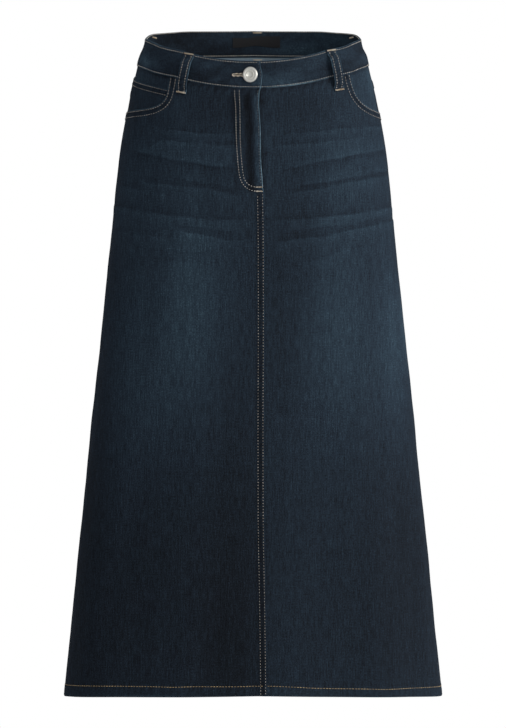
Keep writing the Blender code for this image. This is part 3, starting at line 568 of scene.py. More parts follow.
def facing_out(side, angle, height):
    """Face of the pocket facing: low under the panel, rising inside the mouth."""
    low = -DENIM - 0.3
    if side == "right":
        low = low - COIN_LAYER - 0.3
    return low + (-0.2 - low) * fade(mouth_inside(side, angle, height), *FACING_RISE)


# ---- Meshes ----

def fill_mesh(name, points, faces, materials, kinds=None, uv=None, wash_and_shade=None, sharp=50):
    """A named piece that rides on the frame, from points in mm, lists of corners and their values."""
    mesh = bpy.data.meshes.new(name)
    mesh.from_pydata((points * MM).tolist(), [], faces)
    for material in materials:
        mesh.materials.append(material)
    if kinds is not None:
        mesh.polygons.foreach_set("material_index", kinds.astype(np.int32))
    if uv is not None:
        mesh.uv_layers.new(name="cloth").data.foreach_set("uv", (uv[np.ravel(faces)] * MM).ravel())
    if wash_and_shade is not None:
        value = np.clip(wash_and_shade, 0, 1).astype(np.float32)
        mesh.attributes.new("wash_and_shade", "FLOAT", "POINT").data.foreach_set("value", value)
    mesh.shade_smooth()
    mesh.set_sharp_from_angle(angle=math.radians(sharp))
    piece = bpy.data.objects.new(name, mesh)
    bpy.context.scene.collection.objects.link(piece)
    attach(piece, "root")
    return piece


def grid_faces(rows, columns):
    """The squares of a grid of points numbered row by row."""
    number = np.arange(rows * columns).reshape(rows, columns)
    corners = [number[:-1, :-1], number[:-1, 1:], number[1:, 1:], number[1:, :-1]]
    return np.stack(corners, axis=-1).reshape(-1, 4)


def shell(name, outside, inside, uv, wash_and_shade, materials, wrong_side=None, keep=None):
    """A closed shell: the face grid, the back grid, and a strip along every edge used only once.

    keep says which squares stay, so a hole gets its own strip. The squares are turned so that their
    normals point from the back to the face.
    """
    rows, columns = outside.shape[:2]
    count = rows * columns
    squares = grid_faces(rows, columns)
    wrong = np.ones(len(squares), bool) if wrong_side is None else wrong_side.ravel()
    if keep is not None:
        squares, wrong = squares[keep.ravel()], wrong[keep.ravel()]
    front, back = outside.reshape(-1, 3), inside.reshape(-1, 3)
    a, b, c, d = (front[squares[:, i]] for i in range(4))
    outward = front[squares[:, 0]] - back[squares[:, 0]]
    if (np.cross(c - a, d - b) * outward).sum() < 0:
        squares = squares[:, ::-1]
    edges = np.stack([squares, np.roll(squares, -1, axis=1)], axis=-1).reshape(-1, 2)
    once = ~np.isin(edges[:, 0] * count + edges[:, 1], edges[:, 1] * count + edges[:, 0])
    rim = edges[once]
    strip = np.stack([rim[:, 1], rim[:, 0], rim[:, 0] + count, rim[:, 1] + count], axis=-1)
    faces = np.concatenate([squares, squares[:, ::-1] + count, strip])
    kinds = np.concatenate([np.zeros(len(squares)), wrong, np.zeros(len(strip))])
    used, faces = np.unique(faces, return_inverse=True)
    faces = faces.reshape(-1, 4)
    points = np.concatenate([front, back])[used]
    uv = np.concatenate([uv.reshape(-1, 2)] * 2)[used]
    wash_and_shade = np.concatenate([wash_and_shade.ravel()] * 2)[used]
    piece = fill_mesh(name + "_cloth", points, faces.tolist(), materials, kinds, uv, wash_and_shade)
    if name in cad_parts:
        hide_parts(name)


def cloth(name, angle, height, face, back, wash_and_shade, materials, lengthways=True, **extra):
    """A shell on the form. Its UV is the distance round and the height, or turned for a band."""
    middle = 0.0 if abs(angle.mean()) < 90 else 180.0
    around = along(middle, angle, height)
    around = np.where(angle < middle, -around, around)
    uv = np.stack([around, height] if lengthways else [height, around], axis=-1)
    outside, inside = place(angle, height, face), place(angle, height, back)
    shell(name, outside, inside, uv, wash_and_shade, materials, **extra)


def panel(name, angle, height, layers):
    """A panel's shell; in the hem's turn-up the right side of the cloth shows inside."""
    turned_up = height[:-1, :-1] < hem_edge(angle[:-1, :-1]) + HEM_TURN - 1
    cloth(name, angle, height, *layers, [RIGHT_SIDE, WRONG_SIDE], wrong_side=~turned_up)


def between(start, end, count):
    """Evenly spaced values without the last, so that two stretches join."""
    return np.linspace(start, end, count + 1)[:-1]


# ---- Panels ----

# Distances of a grid's lines from the edge or the seam that they run along
EDGE_ROWS = np.array([0, 0.3, 0.8, 1.5, 2.2, 3.2, 5.0, 7.0, 8.2, 9.0, 9.9, 11.0, 12.4])
HEM_ROWS = np.array([0.05, 0.12, 0.3, 0.5, 0.7, 0.88, 0.96, 1.0]) * HEM_TURN
CENTRE_LINES = {
    "right": np.array([
        46, 42, FLY_WIDTH + 3, FLY_WIDTH, 32, 29, 26, 23, 20, 17, 14, 12.5, 11, 9.5, 7.5, 5.5, 3.6,
        2.3, 1.2, 0.5, 0,
    ]),
    "left": np.array([30, 25, 20, 16, 12.5, 9.5, 7, 5, 3.2, 1.8, 0.8, 0]),
}
MOUTH_COLUMNS, WAIST_COLUMNS = 36, {"right": 30, "left": 36}
CORNER_LEAN = 26  # how far from the corner the lines begin to mitre


def front_panel(side):
    """Front panel. Its first rows run parallel to the waist seam and the pocket mouth.

    From a point of the top edge a row's place is the point plus its distance times the inward
    normal; near the corner the normal leans away from the corner so that the rows mitre there. From
    the last of these rows the columns slide, along a smooth step, into even angles at the hem.
    """
    sign = SIGN[side]
    start, near, waist_count = MOUTH[side][0], CENTRE_LINES[side], WAIST_COLUMNS[side]
    edge = front_edge(-80.0)
    boundary = float(angle_at(edge + sign * near[0], -80.0)) * sign

    angle_m, height_m, arc_m = (v[::-1] for v in mouth_line(side, MOUTH_COLUMNS))
    angle_w = np.linspace(start, boundary, waist_count + 1)[1:]
    edge_angle = np.concatenate([angle_m, angle_w])
    edge_height = np.concatenate([height_m, waist_seam(angle_w)]) - GAP / 2
    arc_w = -along(start, angle_w, waist_seam(angle_w))
    tangent = np.stack([np.gradient(arc_m), np.gradient(height_m)], axis=-1)
    tangent /= np.linalg.norm(tangent, axis=-1, keepdims=True)
    walked = np.concatenate([[0], np.cumsum(np.hypot(np.diff(arc_m), np.diff(height_m)))])
    lean = np.clip(1 - (walked[-1] - walked) / CORNER_LEAN, 0, 1)[:, None]
    inward_m = np.stack([-tangent[:, 1], tangent[:, 0]], axis=-1) - tangent * lean
    inward_m[-1] = (-1, -1)
    inward_w = np.stack([-np.clip(1 + arc_w / CORNER_LEAN, 0, 1), np.full(waist_count, -1.0)], axis=-1)
    inward = np.concatenate([inward_m, inward_w])
    inward[0] = (0, -1)
    per_degree = along(edge_angle - 1, edge_angle, edge_height)
    top_angle = edge_angle + inward[:, 0] * EDGE_ROWS[:, None] / per_degree
    top_height = edge_height + inward[:, 1] * EDGE_ROWS[:, None]

    share = np.concatenate([np.linspace(0, 0.3, 230)[1:], np.linspace(0.3, 1, 130)[1:]])[:, None]
    steady = len(edge_angle)
    turn_line = hem_edge(np.linspace(90, boundary * 0.7, steady)) + HEM_TURN
    low_height = top_height[-1] + (turn_line - top_height[-1]) * share
    height = np.concatenate([top_height, low_height, turn_line - HEM_ROWS[:, None]])
    near_at = angle_at(edge + sign * near, -80.0)
    near_top = waist_seam(near_at) - GAP / 2
    near_turn = hem_edge(near_at * 0.7) + HEM_TURN
    near_low = near_top - EDGE_ROWS[-1] + (near_turn - near_top + EDGE_ROWS[-1]) * share
    near_height = np.concatenate([near_top - EDGE_ROWS[:, None], near_low, near_turn - HEM_ROWS[:, None]])

    last = angle_at(front_edge(height[:, -1]) + sign * near[0], height[:, -1]) * sign
    final = 90 + (last[:, None] - 90) * np.linspace(0, 1, steady)
    slide = np.concatenate([np.zeros(len(EDGE_ROWS)), fade(share[:, 0], 0, 0.3), np.ones(len(HEM_ROWS))])
    begin = np.concatenate([top_angle, np.tile(top_angle[-1], (len(height) - len(EDGE_ROWS), 1))])
    angle = sign * (begin + (final - begin) * slide[:, None])
    angle[:, 0] = sign * (90 - side_margin(height[:, 0]))

    apart, reach = 0.0, 0.0
    if side == "left":
        apart = GAP
        reach = (EXTENSION + GAP) * fade(near_height, EXTENSION_END - 4, EXTENSION_END) * fade(near, 9, 0)
    near_angle = angle_at(front_edge(near_height) + sign * (near + apart - reach), near_height)
    angle = np.concatenate([angle[:, :-1], near_angle], axis=1)
    height = np.concatenate([height[:, :-1], near_height], axis=1)
    panel("front_" + side, angle, height, front_out(side, angle, height))


def back_grid(side, height_of, count):
    """Angles and heights of a back piece, from the side seam to the centre seam."""
    near = np.array([14, 12.5, 11, 9.5, 7.5, 5.5, 3.6, 2.3, 1.2, 0.5, 0])
    sign = SIGN[side]
    steady = np.linspace(90, 174.5, count)
    at = np.concatenate([steady, np.full(len(near), 178.0)])
    at = at if side == "left" else 360 - at
    height = height_of(at)
    angle = np.tile(at, (len(height), 1))
    margin = side_margin(height[:, 0])
    angle[:, 0] = 90 + margin if side == "left" else 270 - margin
    x = CENTRE_BACK_X + sign * (GAP / 2 + near)
    angle[:, -len(near):] = angle_at(x, height[:, -len(near):], back=True)
    last = angle[:, -len(near)][:, None]
    share = (np.arange(count) / count)[None, :]
    first = angle[:, :1]
    angle[:, :count] = first + (last - first) * share
    return angle, height


def back_panel(side):
    """Back panel from its side seam to the centre back, below the yoke, its rows evenly spaced."""
    def heights(at):
        top, turn = yoke_seam(at) - GAP / 2, hem_edge(at) + HEM_TURN
        share = np.concatenate([[0, 0.0006, 0.0015], np.linspace(0.0035, 1, 220)])[:, None]
        return np.concatenate([top + (turn - top) * share, turn - HEM_ROWS[:, None]])

    angle, height = back_grid(side, heights, 58)
    panel("back_" + side, angle, height, back_out(side, angle, height))


def back_yoke(side):
    """Yoke between the waist seam and the back panel."""
    def heights(at):
        top, low = waist_seam(at) - GAP / 2, yoke_seam(at) + GAP / 2
        upper = top + (low + 14 - top) * between(0, 1, 12)[:, None]
        rise = np.array([14, 12.5, 11, 9.5, 8, 6, 4, 3, 2.3, 1.5, 0.8, 0.3, 0.0])[:, None]
        return np.concatenate([upper, low + rise])

    angle, height = back_grid(side, heights, 58)
    layers = yoke_out(side, angle, height)
    cloth("back_yoke_" + side, angle, height, *layers, [RIGHT_SIDE, WRONG_SIDE])


# ---- Pockets ----

def pocket_facing(side):
    """The cloth seen inside a pocket mouth, sewn in at the waist and side seams."""
    sign = SIGN[side]
    at = np.linspace(90, MOUTH[side][0] - 8, 54)
    top = waist_seam(at) - GAP / 2
    height = top + (FACING_LOW - top) * np.linspace(0, 1, 44)[:, None]
    angle = np.tile(sign * at, (len(height), 1))
    angle[:, 0] = sign * (90 - side_margin(height[:, 0]))
    face = facing_out(side, angle, height) + 0.25 * ripples(angle * 2, height * 2)
    wash_and_shade = np.full(face.shape, BASE_WASH) - 0.02 + 0.08 * fade(mouth_inside(side, angle, height), 0.2, 0.7)
    # painted shadow just under the waistband; the facing on the wearer's left is paler
    wash_and_shade = wash_and_shade - 0.12 * fade(waist_seam(angle) - height, 6, 0) + (0.04 if side == "right" else 0.10)
    cloth("pocket_facing_" + side, angle, height, face, face - DENIM, wash_and_shade, [RIGHT_SIDE, WRONG_SIDE])


def coin_top(angle):
    """Height of the coin pocket's top edge: it falls evenly with the distance from the side seam."""
    return COIN_TOP_SIDE - COIN_TOP_SLOPE * along(-90.0, angle, -70.0)


def coin_out(angle, height):
    """Under side and face of the coin pocket: a layer on the facing, thicker in its hemmed top."""
    below = coin_top(angle) - height
    inside = mouth_inside("right", angle, height)
    under = facing_out("right", angle, height) + 0.12
    hemmed = 0.45 * fade(below, 12, 9.5) * fade(inside, FACING_RISE[0], 0.3)
    face = under + COIN_LAYER + hemmed - 0.4 * fade(below, 0.9, 0)
    return under, face + sum(sewn_in(below, row) for row in COIN_ROWS)


def coin_pocket():
    """Coin pocket on the wearer's right facing, its hemmed top sloping to the panel's edge."""
    at = -np.linspace(90, MOUTH["right"][0] - 3.5, 48)
    rows = np.array([0, 0.4, 1, 1.8, 3, 5, 6.6, 8, 9.3, 10.5, 12, 14])
    top = coin_top(at)
    lower = (top - 14) + (COIN_LOW - top + 14) * np.linspace(0.05, 1, 20)[:, None]
    height = np.concatenate([top - rows[:, None], lower])
    angle = np.tile(at, (len(height), 1))
    angle[:, 0] = -(90 - side_margin(height[:, 0]))
    under, face = coin_out(angle, height)
    below = coin_top(angle) - height
    wash_and_shade = BASE_WASH - 0.01 + 0.24 * fade(below, 1.6, 0.2) - 0.06 * bell(below, 5, 3)
    wash_and_shade = wash_and_shade + 0.06 * pucker(angle * 2, below, 12)
    cloth("coin_pocket", angle, height, face, under, wash_and_shade, [RIGHT_SIDE, WRONG_SIDE])


# ---- Waistband ----

def band_shift(angle):
    """How far the band's lapped ends are moved out or in, by distance across the front."""
    x = place(angle, BAND_MIDDLE, 0)[..., 0]
    edge = float(front_edge(BAND_MIDDLE))
    return LAP_RAISE * fade(x, -46, -31), -LAP_SINK * fade(x, edge + 22, edge + 3)


def band_out(angle, share):
    """Face and back of the band's section, a stitched dip near each edge, and its wear together with painted
    light and shade.
    """
    share_rows, face_rows, back_rows = zip(*BAND_SECTION)
    face = curve(list(zip(share_rows, face_rows)), share)
    back = curve(list(zip(share_rows, back_rows)), share)
    length = turned(angle) * 2.6
    low, high = share * band_height(angle), (1 - share) * band_height(angle)
    rope = pucker(length, low, 9) + pucker(length + 40, high, 8)
    soft = 0.22 * np.sin(length / 19 + share * 5) * np.sin(share * 7 + length / 47)
    soft = soft + 0.12 * np.sin(length / 7.7 + share * 9)
    soft = soft * fade(share, 0, 0.25) * fade(share, 1, 0.8)
    face = face + soft + 0.12 * rope + sewn_in(low, BAND_LOW_ROW) + sewn_in(high, BAND_HIGH_ROW)
    mottle = np.sin(length / 31 + 1) * np.sin(share * 6)
    mottle = mottle + 0.7 * np.sin(length / 5.3 - share * 9) * bell(length, -44, 22)
    at = turned(angle)
    # the two tones behind are painted light on the wearer's left and painted shade on the wearer's right of
    # the band's inside
    tone = sum(gain * bell(at, middle, wide) for middle, wide, gain in BAND_FADES_AND_PAINTED_LIGHT)
    wash_and_shade = BASE_WASH - 0.02 + tone + 0.08 * mottle + 0.05 * rope
    wash_and_shade = wash_and_shade + 0.16 * fade(low, 1.5, 0.1) + 0.26 * fade(high, 1.3, 0) - 0.05 * bell(low, 4, 2)
    wash_and_shade = wash_and_shade + 0.10 * bell(at, 15, 11) * bell(low, 5, 4) * (1 + 0.4 * rope)
    wash_and_shade = wash_and_shade + 0.22 * bell(at, 22, 14) * fade(low, 3.4, 1.5)
    return face, back + 0.5 * soft, wash_and_shade


BAND_SHARES = np.array([
    0, 0.008, 0.02, 0.035, 0.05, 0.07, 0.1, 0.14, 0.19, 0.25, 0.31, 0.37, 0.42, 0.455, 0.482, 0.514,
    0.54, 0.58, 0.63, 0.69, 0.75, 0.8, 0.84, 0.875, 0.905, 0.93, 0.945, 0.96, 0.975, 0.985, 0.993, 1,
])
SLIT_SHARE = 0.498


def band(name, at, ends="", slit=False):
    """A length of waistband: its section carried round the form, its lapped end moved out or in."""
    low, top = waist_seam(at) + GAP / 2, waist_edge(at)
    share = BAND_SHARES[:, None]
    height = low + (top - low) * share
    angle = np.tile(at, (len(height), 1))
    for column, inward in ((0, 1), (-1, -1)):
        if abs(from_front(at[column]) - 90) < 1e-6:
            angle[:, column] = at[column] + inward * side_margin(height[:, column])
    across = curve(HALF_WIDTH, BAND_MIDDLE) * np.sin(np.radians(angle))
    if ends == "over":
        edge = float(front_edge(BAND_MIDDLE))
        lean = (front_edge(height) - edge) * fade(across, 0, edge)
        across = across + lean
        angle = np.where(lean == 0, angle, angle_at(across, BAND_MIDDLE))
    face, back, wash_and_shade = band_out(angle, np.broadcast_to(share, angle.shape))
    over, under = band_shift(angle)
    shift = over if ends == "over" else under if ends == "under" else 0.0
    keep = None
    x = place(angle, height, 0)[..., 0]
    if slit:
        near = bell(share, SLIT_SHARE, 0.16) * fade(x, -36, -28)
        height = height + near * (BUTTON_Z - (low + (top - low) * SLIT_SHARE))
        middle_x = 0.25 * (x[:-1, :-1] + x[1:, :-1] + x[:-1, 1:] + x[1:, 1:])
        middle_z = 0.25 * (height[:-1, :-1] + height[1:, :-1] + height[:-1, 1:] + height[1:, 1:])
        level = np.abs(middle_z - BUTTON_Z) < 0.55 * SLIT_HEIGHT
        in_slit = level & (middle_x > SLIT_END_X) & (middle_x < BUTTON_X)
        in_eye = np.hypot(middle_x - EYE_X, middle_z - BUTTON_Z) < EYE_RADIUS
        keep = ~(in_slit | in_eye)
        around = np.hypot(np.maximum(SLIT_END_X - x, 0), height - BUTTON_Z)
        pull = np.exp(-around / 7) * fade(x, -60, -30) * fade(x, -2, -12)
        face = face + 0.45 * pull * np.sin((height - BUTTON_Z) / 2.1 + x / 9)
        wash_and_shade = wash_and_shade - 0.05 * pull
    if ends == "over":
        end = front_edge(height) - across
        face = face - 0.7 * fade(end, 1.2, 0) + sewn_in(end, 2.6)
        wash_and_shade = wash_and_shade + 0.34 * fade(end, 1.4, 0.1)
    sides = [BAND_SIDE, BAND_SIDE]
    cloth(name, angle, height, face + shift, back + shift, wash_and_shade, sides, lengthways=False, keep=keep)


def waistband():
    """The band in three lengths; its right front end laps over the left one."""
    edge = float(front_edge(BAND_MIDDLE))
    lap = np.concatenate([
        between(-52, -30, 10), between(-30, 2, 30), between(2, edge - 1.5, 8),
        [edge - 1.5, edge - 0.8, edge - 0.3, edge],
    ])
    start = float(angle_at(-52.0, BAND_MIDDLE))
    right = np.concatenate([between(-90, start, 64), angle_at(lap, BAND_MIDDLE)])
    band("waistband_front_right", right, "over", slit=True)
    under = between(edge - LAP_UNDER, edge + 30, 30)
    end = float(angle_at(edge + 30, BAND_MIDDLE))
    left = np.concatenate([angle_at(under, BAND_MIDDLE), np.linspace(end, 90, 66)])
    band("waistband_front_left", left, "under")
    band("waistband_back", np.linspace(90, 270, 150))


# ---- Belt loops, label, fly parts ----

def loop_line(name):
    """Places down a belt loop and how far out its under side stands, bowed between the sewn ends."""
    top_at, foot_at, drop, space = LOOPS[name]
    seam = float(waist_seam(foot_at))
    top, low = float(waist_edge(top_at)) - (2.6 if "side" in name else 0.4), seam - drop
    height = np.linspace(top, low, 64)
    at = top_at + (foot_at - top_at) * (top - height) / (top - low)
    share = np.clip((top - LOOP_TACK - height) / (top - low - 2 * LOOP_TACK), 0, 1)
    bow = space * (1 - np.abs(2 * share - 1) ** LOOP_FLATNESS)
    rest = BAND_FACE * fade(height, seam - 3, seam + 3)
    if "centre_back" in name:
        rest = rest + SEAM_RAISE * fade(height, seam + 3, seam - 1)
    return at, height, rest + 0.25 + bow


def loop_frame(name):
    """The loop's middle line under and over its cloth, its sideways and its outward direction."""
    at, height, under = loop_line(name)
    middle = 0.5 * (at[0] + at[-1])
    outward = place(middle, height[0], 1) - place(middle, height[0], 0)
    sideways = np.cross(outward, place(at[-1], height[-1], 0) - place(at[0], height[0], 0))
    sideways /= np.linalg.norm(sideways)
    return place(at, height, under), place(at, height, under + LOOP_CLOTH), sideways, outward


def belt_loop(name):
    """A folded strip: its middle line carried across by its width, its edges rolled and worn."""
    under, over, sideways, outward = loop_frame(name)
    half = np.array([0.1, 0.2, 0.28, 0.34, 0.4, 0.44, 0.475, 0.5])
    share = np.concatenate([-half[::-1], [0], half])
    across = share * LOOP_WIDTH
    edge = (0.5 - np.abs(share)) * LOOP_WIDTH
    length = np.linspace(0, 60, len(over))[:, None]
    rope = np.sin(length / 1.3 + share * 7)
    rolled = -0.55 * fade(edge, 0.8, 0) - 0.28 * bell(edge, 2.4, 0.8) + 0.12 * bell(share, 0, 0.12)
    rolled = rolled + 0.10 * rope * fade(edge, 5, 1)
    outside = over[:, None] + across[:, None] * sideways + rolled[..., None] * outward
    inside = under[:, None] + across[:, None] * sideways
    wash_and_shade = 0.34 + 0.27 * fade(edge, 1.4, 0.2) + 0.05 * rope + 0.05 * np.sin(length / 9)
    uv = np.stack(np.broadcast_arrays(across, -length), axis=-1)
    shell(name, outside, inside, uv, wash_and_shade, [RIGHT_SIDE, RIGHT_SIDE])


def label():
    """Blank woven label on the inside of the band at the back, its ends folded under.

    It is sewn down at both ends, so its lower edge arches a little between them.
    """
    x = np.linspace(LABEL_X + LABEL_WIDTH / 2, LABEL_X - LABEL_WIDTH / 2, 61)
    top, low = 6.2 + 2.4 * fade(x, -5, 6), -7.5 + 2.8 * bell(x, 4, 15)
    height = top + (low - top) * np.linspace(0, 1, 15)[:, None]
    height, across = np.broadcast_arrays(height, x)
    angle = angle_at(across, height, back=True)
    up, over = (height - LABEL_Z) / LABEL_HEIGHT, (across - LABEL_X) / LABEL_WIDTH
    puff = 0.18 * np.cos(up * math.pi) * np.cos(over * math.pi)
    face = -2.05 - 0.6 * puff
    wash_and_shade = np.full(face.shape, 0.4)
    cloth("label", angle, height, face, face - LABEL_CLOTH, wash_and_shade, [LABEL_WEAVE, LABEL_WEAVE])


def behind_fly(name, near, heights, face, back, wash_and_shade, materials):
    """A piece behind the fly: a grid by distance from the zip's line and by height."""
    height = np.tile(heights[:, None], (1, len(near)))
    angle = angle_at(curve(ZIP_X, height) - near, height)
    cloth(name, angle, height, face, back, wash_and_shade, materials)


def fly_shield():
    """Folded guard behind the zip, sewn in with the left front and free at its other edge."""
    near, heights = np.linspace(-8, 33, 28), np.linspace(-82, -213, 60)
    distance, height = np.meshgrid(near, heights)
    zone = fade(distance, -2, 6) * fade(distance, 30, 20)
    face = -2.4 - 3.1 * zone
    wash_and_shade = BASE_WASH + 0.03 * np.sin(height / 13) + 0.15 * fade(distance, 31, 33)
    behind_fly("fly_shield", near, heights, face, face - 1.92, wash_and_shade, [RIGHT_SIDE, RIGHT_SIDE])


def zip_fastener():
    """Closed zip behind the fly: two woven tapes, their teeth 2 mm apart, and the slider.

    A tape is a thin wall; the teeth are small boxes turned out alternately from either tape.
    """
    out = -DENIM - 0.3
    for name, first, last in (("zip_tape_left", -5.5, 12.6), ("zip_tape_right", 14.2, 28.0)):
        near, heights = np.linspace(first, last, 14), np.linspace(-83, -205, 50)
        face = np.full((len(heights), len(near)), out)
        wash_and_shade = np.full(face.shape, 0.4)
        behind_fly(name, near, heights, face, face - 0.6, wash_and_shade, [ZIP_TAPE, ZIP_TAPE])
    heights = np.arange(-88.0, -199.0, -1.0)
    side = np.where(np.arange(len(heights)) % 2 == 0, 1.0, -1.0)
    middle = curve(ZIP_X, heights) - TEETH_IN
    angle = angle_at(middle, heights)
    centre = place(angle, heights, out - 1.5)
    outward = place(angle, heights, 1) - place(angle, heights, 0)
    across = np.stack([-outward[:, 1], outward[:, 0], np.zeros(len(angle))], axis=-1)
    upward = np.tile([0.0, 0.0, 1.0], (len(angle), 1))
    corner = np.array([(a, b, c) for a in (-2.3, 0.5) for b in (-0.85, 0.85) for c in (-0.42, 0.42)])
    a = corner[None, :, 0] * side[:, None]
    points = centre[:, None] + a[..., None] * across[:, None]
    points = points + corner[:, 1, None] * outward[:, None] + corner[:, 2, None] * upward[:, None]
    box = np.array([(0, 1, 3, 2), (4, 6, 7, 5), (0, 4, 5, 1), (2, 3, 7, 6), (0, 2, 6, 4), (1, 5, 7, 3)])
    faces = np.where(side[:, None, None] > 0, box, box[:, ::-1]) + 8 * np.arange(len(angle))[:, None, None]
    faces = faces.reshape(-1, 4).tolist()
    teeth = fill_mesh("zip_teeth", points.reshape(-1, 3), faces, [ZIP_BRASS], sharp=30)
    outwards(teeth)
    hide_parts("zip")

    outline = np.array([(0, -96.2), (2.2, -96.0), (3.3, -93.5), (3.4, -89.0), (2.6, -86.6), (0, -86.0)])
    ring = np.concatenate([outline, outline[-2:0:-1] * (-1, 1)])
    plates = []
    for near_out, far_out in ((out - 0.2, out - 1.0), (out - 2.2, out - 3.0)):
        levels = np.array([near_out, near_out - 0.1, far_out + 0.1, far_out])
        scale = np.array([0.9, 1, 1, 0.9])
        grid = ring_stack(ring, levels, scale)
        plates.append(grid)
    tab = np.array([(0, -112), (1.6, -111.6), (2.2, -110), (1.9, -96), (1.6, -92), (0, -91.5)])
    tab_ring = np.concatenate([tab, tab[-2:0:-1] * (-1, 1)])
    levels = out - np.array([3.1, 3.2, 4.0, 4.1])
    plates.append(ring_stack(tab_ring, levels, np.array([0.93, 1, 1, 0.93])))
    points, faces, start = [], [], 0
    for grid, quads in plates:
        points.append(grid)
        faces += [tuple(int(i) + start for i in face) for face in quads]
        start += len(grid)
    slider = fill_mesh("zip_slider", np.concatenate(points), faces, [ZIP_BRASS], sharp=40)
    outwards(slider)


def ring_stack(ring, levels, scale):
    """A flat plate behind the fly: one outline repeated at each distance out, scaled, and capped."""
    middle = curve(ZIP_X, ring[:, 1]) - TEETH_IN
    centre_z = ring[:, 1].mean()
    layers = []
    for level, size in zip(levels, scale):
        z = centre_z + (ring[:, 1] - centre_z) * size
        angle = angle_at(middle + ring[:, 0] * size, z)
        layers.append(place(angle, z, level))
    number, squares = ring_squares(len(levels), len(ring))
    caps = [number[0][::-1].tolist(), number[-1].tolist()]
    return np.concatenate(layers), squares + caps


def ring_squares(rings, count):
    """Points numbered ring by ring, and the squares that join each ring to the next."""
    number = np.arange(rings * count).reshape(rings, count)
    after = np.roll(number, -1, axis=1)
    squares = np.stack([number[:-1], after[:-1], after[1:], number[1:]], axis=-1)
    return number, squares.reshape(-1, 4).tolist()


# Button profile: radius and distance out from the shank's foot
HEAD = [
    (0, 0), (SHANK_RADIUS, 0), (SHANK_RADIUS, 5.8), (6.5, 6.0), (9.0, 6.25), (10.0, 6.6), (10.5, 7.1),
    (10.6, 7.7), (10.4, 8.3), (9.9, 8.75), (9.2, 8.98), (8.5, 9.05), (7.6, 9.0), (7.0, 8.8), (6.6, 8.45),
    (6.3, 8.3), (6.0, 8.45), (5.7, 8.75), (5.3, 8.85), (4.9, 8.7), (4.5, 8.3), (4.0, 7.75), (3.2, 7.35),
    (2.4, 7.2), (1.6, 7.15), (0.8, 7.15), (0, 7.15),
]


def button():
    """Shank button: its profile turned round the shank, x = radius cos t, y = radius sin t."""
    radius, out = np.array(HEAD, float).T
    turn = np.linspace(0, 2 * math.pi, 97)[:-1]
    tilt = math.radians(BUTTON_TILT)
    stand = BAND_FACE - LAP_SINK + 0.3 + SHANK_RADIUS * abs(math.sin(tilt))
    foot = place(angle_at(BUTTON_X, BUTTON_Z), BUTTON_Z, stand)
    ahead = np.array([math.sin(tilt), -math.cos(tilt), 0.0])
    across = np.array([math.cos(tilt), math.sin(tilt), 0.0])
    upward = np.array([0.0, 0.0, 1.0])
    spoke = np.cos(turn)[:, None] * across + np.sin(turn)[:, None] * upward
    body = foot + out[1:-1, None, None] * ahead + radius[1:-1, None, None] * spoke[None]
    number, squares = ring_squares(*body.shape[:2])
    after = np.roll(number, -1, axis=1)
    pole = number.size
    low = [(int(a), int(b), pole) for a, b in zip(after[0], number[0])]
    high = [(int(a), int(b), pole + 1) for a, b in zip(number[-1], after[-1])]
    points = np.concatenate([body.reshape(-1, 3), [foot], [foot + out[-1] * ahead]])
    piece = fill_mesh("button_head", points, squares + low + high, [SATIN_NICKEL], sharp=60)
    outwards(piece)
    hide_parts("button")


def outwards(piece):
    """Turns every face of a closed piece to point out, by the sign of its volume."""
    mesh = piece.data
    points = np.empty(len(mesh.vertices) * 3)
    mesh.vertices.foreach_get("co", points)
    points = points.reshape(-1, 3)
    mesh.calc_loop_triangles()
    corner = np.empty(len(mesh.loop_triangles) * 3, np.int32)
    mesh.loop_triangles.foreach_get("vertices", corner)
    a, b, c = points[corner.reshape(-1, 3)].transpose(1, 0, 2)
    if (a * np.cross(b, c)).sum() < 0:
        mesh.flip_normals()


# ---- Stitching ----

def path_of(angle, height, out):
    """Points in mm along a line of the form and the outward direction at each."""
    angle, height, out = np.broadcast_arrays(*(np.asarray(v, float) for v in (angle, height, out)))
    points = place(angle, height, out)
    outward = place(angle, height, out + 1) - points
    return points, outward


COARSER = 1.15  # stitches 3 to 3.5 mm apart are drawn this much longer, as close as the picture can hold


def row_of(points, outward, pitch=3.5, share=0.45, start=0.0):
    """Both ends and the outward direction of each stitch of a row along a path."""
    pitch = pitch * COARSER
    step = np.linalg.norm(np.diff(points, axis=0), axis=1)
    length = np.concatenate([[0], np.cumsum(step)])
    first = np.arange(start, length[-1] - share * pitch, pitch)
    ends = []
    for offset in (0, share * pitch):
        ends.append(np.stack([np.interp(first + offset, length, points[:, i]) for i in range(3)], axis=-1))
    middle = first + share * pitch / 2
    normal = np.stack([np.interp(middle, length, outward[:, i]) for i in range(3)], axis=-1)
    return ends[0], ends[1], normal / np.linalg.norm(normal, axis=1, keepdims=True)


STATIONS = np.array([0.0, 0.2, 0.8, 1.0])
SWELL = np.array([0.45, 1.0, 1.0, 0.45])
SINK = np.array([-0.9, 0.15, 0.15, -0.9])


